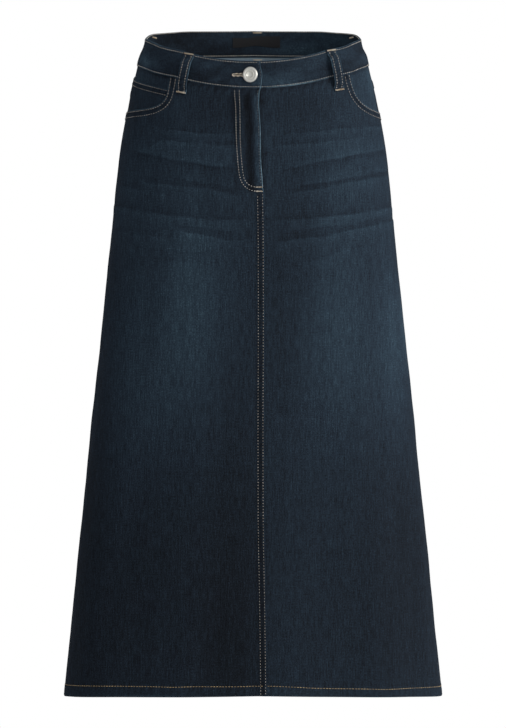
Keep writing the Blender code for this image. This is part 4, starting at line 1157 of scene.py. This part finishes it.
def stitches(name, rows, thread, material):
    """Every stitch of the rows as one mesh: a five-sided thread, thin and sunk in at both ends.

    A point is the start plus a share of the stitch, plus the outward direction times the sink, plus
    radius x (cos t outward + sin t sideways).
    """
    start, end, normal = (np.concatenate(part) for part in zip(*rows))
    run = end - start
    sideways = np.cross(run / np.linalg.norm(run, axis=1, keepdims=True), normal)
    turn = np.linspace(0, 2 * math.pi, 6)[:-1]
    radius = thread / 2 * SWELL
    spine = start[:, None] + STATIONS[:, None] * run[:, None] + (SINK * thread / 2)[:, None] * normal[:, None]
    ring = np.cos(turn)[None, :, None] * normal[:, None] + np.sin(turn)[None, :, None] * sideways[:, None]
    points = spine[:, :, None] + radius[None, :, None, None] * ring[:, None]
    count, sides = len(start), len(turn)
    number = np.arange(4 * sides).reshape(4, sides)
    after = np.roll(number, -1, axis=1)
    quads = np.stack([number[:-1], number[1:], after[1:], after[:-1]], axis=-1).reshape(-1, 4).tolist()
    template = quads + [number[0].tolist(), number[-1][::-1].tolist()]
    offset = np.arange(count) * 4 * sides
    faces = []
    for face in template:
        faces += (np.array(face)[None] + offset[:, None]).tolist()
    piece = fill_mesh(name, points.reshape(-1, 3), faces, [material], sharp=80)
    outwards(piece)


def tack(start, end, normal, width=2.2, pitch=0.75):
    """A bartack: close cross stitches over the line from start to end."""
    start, end, normal = (np.asarray(v, float) for v in (start, end, normal))
    run = end - start
    length = np.linalg.norm(run)
    count = max(3, int(length / pitch))
    sideways = np.cross(run / length, normal) * width / 2
    at = start + run * np.linspace(0, 1, count)[:, None]
    slant = run / length * pitch * 0.5
    return at - sideways - slant, at + sideways + slant, np.tile(normal, (count, 1))


def front_row(side, angle, height):
    """A path along the face of a front panel."""
    angle, height = np.broadcast_arrays(np.asarray(angle, float), np.asarray(height, float))
    face, _, _ = front_out(side, angle, height)
    return path_of(angle, height, face + STITCH_LIFT)


def offset_mouth(side, distance):
    """A line at a distance inside the panel from the pocket mouth, along its normals."""
    sign = SIGN[side]
    angle, height, arc = mouth_line(side, 90)
    tangent = np.stack([np.gradient(arc), np.gradient(height)], axis=-1)
    tangent /= np.linalg.norm(tangent, axis=-1, keepdims=True)
    per_degree = along(angle - 1, angle, height)
    shifted = angle + tangent[:, 1] * distance / per_degree
    lowered = height - tangent[:, 0] * distance
    ok = lowered < waist_seam(shifted) - 0.5
    return sign * shifted[ok], lowered[ok]


def j_row(x_z):
    """A row through places given by distance across and height, smoothed by a running mean."""
    table = np.array(x_z, float)
    step = np.concatenate([[0], np.cumsum(np.hypot(*np.diff(table, axis=0).T))])
    fine = np.linspace(0, step[-1], 240)
    x, z = np.interp(fine, step, table[:, 0]), np.interp(fine, step, table[:, 1])
    kernel = np.ones(15) / 15
    padded_x, padded_z = (np.pad(v, 7, mode="edge") for v in (x, z))
    x, z = np.convolve(padded_x, kernel, "valid"), np.convolve(padded_z, kernel, "valid")
    return angle_at(x, z), z


J_OUTER = [
    # distance across, height
    (-24.9, -81), (-24.9, -87.3), (-23.3, -106.3), (-22.9, -138.8), (-21.9, -160.4), (-20.3, -182.1),
    (-18.4, -197.0), (-16.8, -203.8), (-12.2, -212.2), (-8.1, -215.0), (-4.1, -217.6), (0, -218.6),
    (4.1, -219.2), (11.5, -219.2),
]
J_INNER = [
    # distance across, height
    (-18.5, -81), (-18.5, -87.3), (-17.7, -106.3), (-17.3, -149.6), (-16.1, -171.3), (-15.0, -182.1),
    (-13.3, -197.0), (-11.6, -203.8), (-8.1, -208.6), (-4.1, -211.4), (0, -213.3), (4.1, -213.5),
    (11.5, -213.5),
]


HEM_SPANS = [
    # side, first and last angle, which layers
    ("right", -89.6, 3.2, front_out), ("left", 4.2, 89.6, front_out),
    ("left", 90.4, 178, back_out), ("right", 179, 269.6, back_out),
]


def topstitching():
    """All the rows, bartacks and the buttonhole's edging, each kind of thread a piece."""
    front, seam, back, band_rows, tacks, hem, edges = [], [], [], [], [], [], []
    for line, pitch in ((J_OUTER, 3.12), (J_INNER, 3.34)):
        angle, height = j_row(line)
        front.append(row_of(*front_row("right", angle, height), pitch=pitch))
    height = np.linspace(-82, -213, 120)
    edges.append(row_of(*front_row("right", angle_at(front_edge(height) - 2.4, height), height), pitch=3.3))
    for distance, first in zip(CENTRE_ROWS, (-223.0, -226.0)):
        height = np.linspace(first, -901, 400)
        seam.append(row_of(*front_row("right", angle_at(front_edge(height) - distance, height), height)))
    for side in ("right", "left"):
        for distance in (2.2, 9.5):
            angle, height = offset_mouth(side, distance)
            seam.append(row_of(*front_row(side, angle, height), start=1.0, share=0.6))
    for distance in COIN_ROWS:
        angle = -np.linspace(89, 43.4, 80)
        height = coin_top(angle) - distance
        _, face = coin_out(angle, height)
        inside = mouth_inside("right", angle, height) > 0.001
        seam.append(row_of(*path_of(angle[inside], height[inside], face[inside] + 0.2), share=0.6))

    # the hem's row, all round, in front and behind
    for side, first, last, out_of in HEM_SPANS:
        angle = np.linspace(first, last, 300)
        height = hem_edge(angle) + curve(HEM_ROW, turned(angle))
        face, _, _ = out_of(side, angle, height)
        hem.append(row_of(*path_of(angle, height, face + STITCH_LIFT), share=0.78))

    # the back: centre seam and yoke seams, two rows each
    for distance in FELL_ROWS:
        height = np.linspace(-92.5, -906, 400)
        angle = angle_at(CENTRE_BACK_X - distance, height, back=True)
        face, _, _ = back_out("right", angle, height)
        back.append(row_of(*path_of(angle, height, face + STITCH_LIFT)))
        height = np.linspace(-24, -90, 60)
        angle = angle_at(CENTRE_BACK_X - distance, height, back=True)
        face, _, _ = yoke_out("right", angle, height)
        back.append(row_of(*path_of(angle, height, face + STITCH_LIFT)))
        for side, first, last in (("left", 90.6, 177.6), ("right", 178.6, 269.4)):
            angle = np.linspace(first, last, 260)
            height = yoke_seam(angle) + distance
            face, _, _ = yoke_out(side, angle, height)
            back.append(row_of(*path_of(angle, height, face + STITCH_LIFT)))

    # the band, along both edges, on its face and on its inside
    spans = (
        # which length, height above the seam of its lower row, first and last angle
        ("over", BAND_LOW_ROW, -89.8, 0.0), ("", 2.8, 90.2, 269.8), ("under", BAND_LOW_ROW, 0.0, 89.8),
    )
    for kind, low_row, first, last in spans:
        for near_seam, z in ((True, -77.0), (False, -44.0)):
            edge = float(front_edge(z))
            if kind == "over":
                last = float(angle_at(edge - 2.4, BAND_MIDDLE))
            if kind == "under":
                first = float(angle_at(edge + 1.2, BAND_MIDDLE))
            angle = np.linspace(first, last, 420)
            over, under = band_shift(angle)
            shift = over if kind == "over" else under if kind == "under" else 0.0
            tall = band_height(angle)
            up = np.full(angle.shape, low_row) if near_seam else tall - BAND_HIGH_ROW
            face, _, _ = band_out(angle, up / tall)
            height = waist_seam(angle) + up
            band_rows.append(row_of(*path_of(angle, height, face + shift + 0.2), pitch=3.05))
            if kind == "" and not near_seam:
                up = tall - 0.9
            _, inner, _ = band_out(angle, up / tall)
            height = waist_seam(angle) + up
            points, outward = path_of(angle, height, inner + shift - 0.3)
            band_rows.append(row_of(points, -outward, pitch=3.05, share=0.74))
    height = np.linspace(-45.5, -77.5, 40)
    angle = angle_at(front_edge(height) - 2.4, BAND_MIDDLE)
    share = (height - waist_seam(angle)) / band_height(angle)
    face, _, _ = band_out(angle, share)
    edges.append(row_of(*path_of(angle, height, face + LAP_RAISE + 0.2), pitch=3.3))

    # two rows down each belt loop, and a bartack at either end, through to the inside
    for name in LOOPS:
        _, over, sideways, outward = loop_frame(name)
        for across in (-4.2, 4.2):
            line = over + across * sideways - 0.02 * outward
            band_rows.append(row_of(line, np.tile(outward, (len(line), 1)), pitch=3.2))
        for where in (1, -3):
            middle = over[where] + 0.25 * outward
            tacks.append(tack(middle - 6.6 * sideways, middle + 6.6 * sideways, outward, width=2.3))
        at, height, _ = loop_line(name)
        inner = place(at[3], height[3], -2.15)
        tacks.append(tack(inner - 5.8 * sideways, inner + 5.8 * sideways, -outward, width=2.3))
        inner = place(at[-1], height[-1] + 2.3, -DENIM - 0.15)
        tacks.append(tack(inner - 5.8 * sideways, inner + 5.8 * sideways, -outward, width=2.6))

    # bartacks at the foot of the fly
    for x_first, x_last, z in ((4.1, 12.3, -213.5), (4.1, 12.5, -219.2)):
        points, outward = front_row("right", angle_at(np.array([x_first, x_last]), z), np.array([z, z]))
        tacks.append(tack(points[0], points[1], outward[0], width=1.7))
    stitches("topstitching_front", front, 0.85, TOPSTITCH_PAINTED_LIT)
    stitches("topstitching_seam", seam, 0.85, SEAM_STITCH_PAINTED_DIM)
    stitches("topstitching_back", back, 0.85, SEAM_STITCH_PAINTED_DIM)
    stitches("topstitching_hem", hem, 0.85, GOLDEN_STITCH)
    stitches("topstitching_waistband", band_rows, 0.9, TOPSTITCH_PAINTED_LIT)
    stitches("edge_stitching", edges, 0.55, EDGE_STITCH)
    stitches("bartacks", tacks, 0.55, BARTACK)
    stitches("buttonhole_edging", buttonhole_edging(), 0.55, BARTACK)


def buttonhole_edging():
    """Purl stitches across both lips of the slit and fanned round its closed end."""
    x = np.arange(SLIT_END_X + 0.5, BUTTON_X - 7.0, 0.72)
    rows = []
    for side in (-1, 1):
        near, far = BUTTON_Z + side * 0.55, BUTTON_Z + side * (2.1 + 0.55 * np.sin(x * 1.1 + side))
        rows.append((band_point(x, np.full(x.shape, near)), band_point(x + 0.35, far), band_normal(x)))
    fan = np.radians(np.arange(100, 261, 20))
    centre = np.full(fan.shape, SLIT_END_X + 0.3)
    rows.append((
        band_point(centre + 0.5 * np.cos(fan), BUTTON_Z + 0.5 * np.sin(fan)),
        band_point(centre + 1.7 * np.cos(fan), BUTTON_Z + 1.6 * np.sin(fan)),
        band_normal(centre),
    ))
    return rows


def band_point(x, z):
    angle = angle_at(x, z)
    share = (z - waist_seam(angle)) / band_height(angle)
    face, _, _ = band_out(angle, share)
    return place(angle, z, face + band_shift(angle)[0] + 0.25)


def band_normal(x):
    angle = angle_at(x, BUTTON_Z)
    return place(angle, BUTTON_Z, 1) - place(angle, BUTTON_Z, 0)


# ---- Materials ----

def linear(colour):
    """An sRGB hex colour as linear red, green, blue and alpha."""
    value = np.array([int(colour[i:i + 2], 16) for i in (1, 3, 5)]) / 255
    value = np.where(value <= 0.04045, value / 12.92, ((value + 0.055) / 1.055) ** 2.4)
    return (*value.tolist(), 1.0)


def fill(tree, target, inputs):
    """Sets or links a node's inputs, by name or number."""
    for name, value in inputs.items():
        if isinstance(value, bpy.types.NodeSocket):
            tree.links.new(value, target.inputs[name])
        else:
            target.inputs[name].default_value = value


def node(tree, kind, inputs=None, output=0, stops=(), **settings):
    """Adds a node with its settings, its inputs and a ramp's colour stops; gives one output."""
    new = tree.nodes.new("ShaderNode" + kind)
    for name, value in settings.items():
        setattr(new, name, value)
    fill(tree, new, inputs or {})
    if stops:
        elements = new.color_ramp.elements
        while len(elements) < len(stops):
            elements.new(1.0)
        for element, (where, colour) in zip(elements, stops):
            element.position = where
            element.color = linear(colour)
    return new.outputs[output]


def material(name):
    """A named material, its tree and its Principled shader."""
    new = bpy.data.materials.new(name)
    new.use_nodes = True
    return new, new.node_tree, new.node_tree.nodes["Principled BSDF"]


# Twill: 3/1 denim of about 26 picks a centimetre has diagonal lines 0.7 mm apart, 63 degrees from the
# weft; they are drawn 1.1 mm apart, as close as the picture can hold.
TWILL_MM, TWILL_TURN = 1.1, 27.0
WAVE_TURN = 2 * math.pi / 20  # a wave texture's own period is a twentieth of a full turn
# Slubs: thick places of the warp, one end wide (0.5 mm, drawn 1.6 mm) and 5 to 20 mm long
SLUB_WIDE_MM, SLUB_LONG_MM = 1.6, 18.0


def twill_cloth(name, stops, sheen, slub_gain, speck_gain, cloud=(9, 150, 0.12)):
    """Ring-spun indigo denim, overdyed dark and lightly stone-washed.

    Indigo sits on the outside of each warp end, so rubbed places turn slate blue: the attribute of
    fading and painted light and shade picks the colour, shifted by slubs along the warp, specks of bared
    weft, the twill line and clouds (width and length in mm, gain): long streaks down a panel, short
    blotches along the band. The eye gets a dry, matt cloth with fine upright streaks and a faint bloom
    at grazing angles.
    """
    made, tree, shader = material(name)
    uv = node(tree, "UVMap", uv_map="cloth")
    wash_and_shade = node(tree, "Attribute", output="Fac", attribute_name="wash_and_shade")
    layers = (
        # width and length in mm, detail, roughness, gain: slubs, specks, uneven picks, clouds
        (SLUB_WIDE_MM, SLUB_LONG_MM, 2.0, 0.6, slub_gain),
        (1.4, 2.2, 3.0, 0.7, speck_gain),
        (13, 1.4, 2.0, 0.6, 0.35 * slub_gain),
        (cloud[0], cloud[1], 3.0, 0.55, cloud[2]),
    )
    patterns = []
    for wide, long, detail, roughness, gain in layers:
        scaled = node(tree, "Mapping", {"Vector": uv, "Scale": (1 / (wide * MM), 1 / (long * MM), 1)})
        pattern = node(tree, "TexNoise", {
            "Vector": scaled, "Scale": 1.0, "Detail": detail, "Roughness": roughness,
        }, output="Fac")
        patterns.append((pattern, gain))
    slant = node(tree, "Mapping", {"Vector": uv, "Rotation": (0, 0, math.radians(TWILL_TURN))})
    twill = node(tree, "TexWave", {
        "Vector": slant, "Scale": WAVE_TURN / (TWILL_MM * MM), "Distortion": 0.6, "Detail": 1.0,
    }, output="Fac", wave_type="BANDS", bands_direction="X")
    slubs, total = patterns[0][0], wash_and_shade
    for pattern, gain in patterns + [(twill, 0.05)]:
        centred = node(tree, "Math", {0: pattern, 1: 0.5}, operation="SUBTRACT")
        total = node(tree, "Math", {0: centred, 1: gain, 2: total}, operation="MULTIPLY_ADD")
    relief = node(tree, "Math", {0: slubs, 1: 1.2, 2: twill}, operation="MULTIPLY_ADD")
    fill(tree, shader, {
        "Base Color": node(tree, "ValToRGB", {"Fac": total}, stops=stops),
        "Roughness": node(tree, "MapRange", {
            "Value": total, "From Min": 0.2, "From Max": 0.9, "To Min": 0.82, "To Max": 0.95,
        }),
        "Normal": node(tree, "Bump", {"Strength": 0.5, "Distance": 0.16 * MM, "Height": relief}),
        "Specular IOR Level": 0.06,
        "Sheen Weight": sheen,
        "Sheen Roughness": 0.5,
        "Sheen Tint": linear("#7f97b0"),
    })
    return made


INDIGO = [
    # wash, colour
    (0.0, "#0b0d10"), (0.2, "#161b21"), (0.4, "#222c36"), (0.6, "#31414c"), (0.8, "#526974"),
    (1.0, "#869ba6"),
]
# The weft is ecru under a grey tint, and floats over three of four picks on the wrong side
ECRU_BACK = [(0.0, "#55626c"), (0.3, "#76868f"), (0.55, "#96a6b0"), (1.0, "#bfcad1")]
RIGHT_SIDE = twill_cloth("indigo_twill", INDIGO, 0.02, 0.50, 0.75)
BAND_SIDE = twill_cloth("indigo_twill_band", INDIGO, 0.02, 0.18, 0.85, (9, 13, 0.30))
WRONG_SIDE = twill_cloth("indigo_twill_wrong_side", ECRU_BACK, 0.05, 0.30, 0.34)


def thread_of(name, dark, pale):
    """Core-spun polyester sewing thread: a soft shine, its colour dulled here and there by the dye."""
    made, tree, shader = material(name)
    coords = node(tree, "TexCoord", output="Object")
    worn = node(tree, "TexNoise", {"Vector": coords, "Scale": 1 / (9 * MM)}, output="Fac")
    # ply twist: real turns are 0.3 mm apart, drawn 0.5 mm
    ply = node(tree, "TexNoise", {"Vector": coords, "Scale": 1 / (0.5 * MM), "Detail": 1.0}, output="Fac")
    fill(tree, shader, {
        "Base Color": node(tree, "ValToRGB", {"Fac": worn}, stops=[(0.35, dark), (0.68, pale)]),
        "Normal": node(tree, "Bump", {"Strength": 0.4, "Distance": 0.1 * MM, "Height": ply}),
        "Roughness": 0.6,
        "Specular IOR Level": 0.3,
        "Sheen Weight": 0.1,
    })
    return made


# One beige thread in two copies: a paler one, painted light, for the band's rows, much of them in shade, and
# the J rows; a dimmer one, painted shade, for the seams and the back
TOPSTITCH_PAINTED_LIT = thread_of("beige_thread_painted_lit", "#a59d8f", "#e2dace")
SEAM_STITCH_PAINTED_DIM = thread_of("beige_thread_painted_dim", "#756e64", "#b1a99e")
GOLDEN_STITCH = thread_of("golden_hem_thread", "#7d6a4c", "#b39a70")
EDGE_STITCH = thread_of("dulled_edge_thread", "#4c5560", "#8d8d88")
BARTACK = thread_of("tan_bartack_thread", "#b09a7c", "#e2d6c2")


def metal_of(name, dark, pale, grain_mm, low, high):
    """A plated metal whose polish varies over the grain: roughness goes from low to high."""
    made, tree, shader = material(name)
    coords = node(tree, "TexCoord", output="Object")
    grain = node(tree, "TexNoise", {
        "Vector": coords, "Scale": 1 / (grain_mm * MM), "Detail": 3.0,
    }, output="Fac")
    fill(tree, shader, {
        "Base Color": node(tree, "ValToRGB", {"Fac": grain}, stops=[(0.3, dark), (0.7, pale)]),
        "Roughness": node(tree, "MapRange", {"Value": grain, "To Min": low, "To Max": high}),
        "Normal": node(tree, "Bump", {"Strength": 0.15, "Distance": 0.03 * MM, "Height": grain}),
        "Metallic": 1.0,
    })
    return made


# Nickel plate tumbled to a satin: a grey-white metal with broad, soft highlights
SATIN_NICKEL = metal_of("satin_nickel", "#e3e1d5", "#f1efe5", 0.5, 0.40, 0.54)
# Brass teeth, drawn wire stamped on the tape: warm yellow and slightly dulled
ZIP_BRASS = metal_of("zip_brass", "#8d6f3a", "#b8965a", 0.8, 0.28, 0.45)


def woven_tape(name, dark, pale, rib_mm, roughness):
    """Close polyester weave, ribbed across: ribs of the given spacing in the height direction."""
    made, tree, shader = material(name)
    uv = node(tree, "UVMap", uv_map="cloth")
    rib = node(tree, "TexWave", {
        "Vector": uv, "Scale": WAVE_TURN / (rib_mm * MM), "Distortion": 0.4,
    }, output="Fac", wave_type="BANDS", bands_direction="Y")
    fuzz = node(tree, "TexNoise", {"Vector": uv, "Scale": 1 / (1.2 * MM)}, output="Fac")
    part = node(tree, "Math", {0: fuzz, 1: 0.4}, operation="MULTIPLY")
    both = node(tree, "Math", {0: rib, 1: 0.6, 2: part}, operation="MULTIPLY_ADD")
    fill(tree, shader, {
        "Base Color": node(tree, "ValToRGB", {"Fac": both}, stops=[(0.2, dark), (0.8, pale)]),
        "Normal": node(tree, "Bump", {"Strength": 0.5, "Distance": 0.1 * MM, "Height": rib}),
        "Roughness": roughness,
        "Specular IOR Level": 0.3,
    })
    return made


# Damask label: black polyester with ribs of 0.3 mm, drawn 0.9 mm, a dull satin black
LABEL_WEAVE = woven_tape("black_label_damask", "#08080a", "#141416", 0.9, 0.6)
ZIP_TAPE = woven_tape("navy_zip_tape", "#10131a", "#1d222c", 0.8, 0.8)


# ---- Building ----


def build():
    for side in ("right", "left"):
        for make in (front_panel, back_panel, back_yoke, pocket_facing):
            make(side)
    coin_pocket()
    waistband()
    for name in LOOPS:
        belt_loop(name)
    label()
    fly_shield()
    zip_fastener()
    button()
    topstitching()


def studio():
    """The floor, the lights, the white surround and the camera."""
    scene = bpy.context.scene
    made, tree, shader = material("floor_matt_white")
    coords = node(tree, "TexCoord", output="Object")
    tone = node(tree, "TexNoise", {"Vector": coords, "Scale": 3.0}, output="Fac")
    paper = [(0.3, "#f0f0ef"), (0.7, "#f5f5f4")]
    fill(tree, shader, {"Base Color": node(tree, "ValToRGB", {"Fac": tone}, stops=paper), "Roughness": 0.9})
    turn = np.linspace(0, 2 * math.pi, 65)[:-1]
    radius = np.array([0.4, 1.2, 2.4])[:, None]
    rings = np.stack(np.broadcast_arrays(radius * np.cos(turn), radius * np.sin(turn), FLOOR_Z), axis=-1)
    rings = rings.reshape(-1, 3)
    number = np.arange(3 * 64).reshape(3, 64)
    after = np.roll(number, -1, axis=1)
    quads = np.stack([number[:-1], number[1:], after[1:], after[:-1]], axis=-1).reshape(-1, 4).tolist()
    mesh = bpy.data.meshes.new("floor")
    mesh.from_pydata(rings.tolist(), [], quads + [number[0].tolist()])
    mesh.materials.append(made)
    floor = bpy.data.objects.new("floor", mesh)
    scene.collection.objects.link(floor)

    for name, where, power, size, colour in LIGHTS:
        lamp = bpy.data.lights.new(name, "AREA")
        lamp.energy, lamp.size, lamp.color = power, size, linear(colour)[:3]
        thing = bpy.data.objects.new(name, lamp)
        thing.location = where
        aim = Vector((0, 0, -0.45)) - Vector(where)
        thing.rotation_euler = aim.to_track_quat("-Z", "Y").to_euler()
        scene.collection.objects.link(thing)

    world = bpy.data.worlds.new("white_surround")
    world.use_nodes = True
    tree = world.node_tree
    tree.nodes.clear()
    seen = node(tree, "LightPath", output="Is Camera Ray")
    lit = node(tree, "Background", {"Color": linear("#f2f5ff"), "Strength": WORLD_LIGHT})
    plain = node(tree, "Background", {"Color": linear("#ffffff"), "Strength": 1.0})
    both = node(tree, "MixShader", {0: seen, 1: lit, 2: plain})
    fill(tree, tree.nodes.new("ShaderNodeOutputWorld"), {"Surface": both})
    scene.world = world

    camera = bpy.data.objects.new("camera", bpy.data.cameras.new("camera"))
    camera.location = CAMERA_PLACE
    camera.rotation_euler = (math.radians(90), 0, 0)
    camera.data.sensor_width = SENSOR_WIDTH
    camera.data.lens = LENS
    camera.data.shift_y = LENS_SHIFT
    scene.collection.objects.link(camera)
    scene.camera = camera
    scene.view_settings.view_transform = "Standard"


# Places in metres, the lens and its sensor in millimetres
FLOOR_Z = -1.15
CAMERA_PLACE, LENS, SENSOR_WIDTH, LENS_SHIFT = (0.0, -6.0, -0.5), 215.0, 36.0, 0.0478
WORLD_LIGHT = 0.36
LIGHTS = [
    # name, place, power, size, colour
    ("key", (3.6, -2.3, 0.9), 130.0, 1.8, "#ffffff"),
    ("fill", (-0.9, -5.2, 0.7), 42.0, 3.0, "#ffffff"),
    ("rim", (3.4, 0.5, -0.2), 28.0, 1.0, "#eef3ff"),
]

build()
studio()
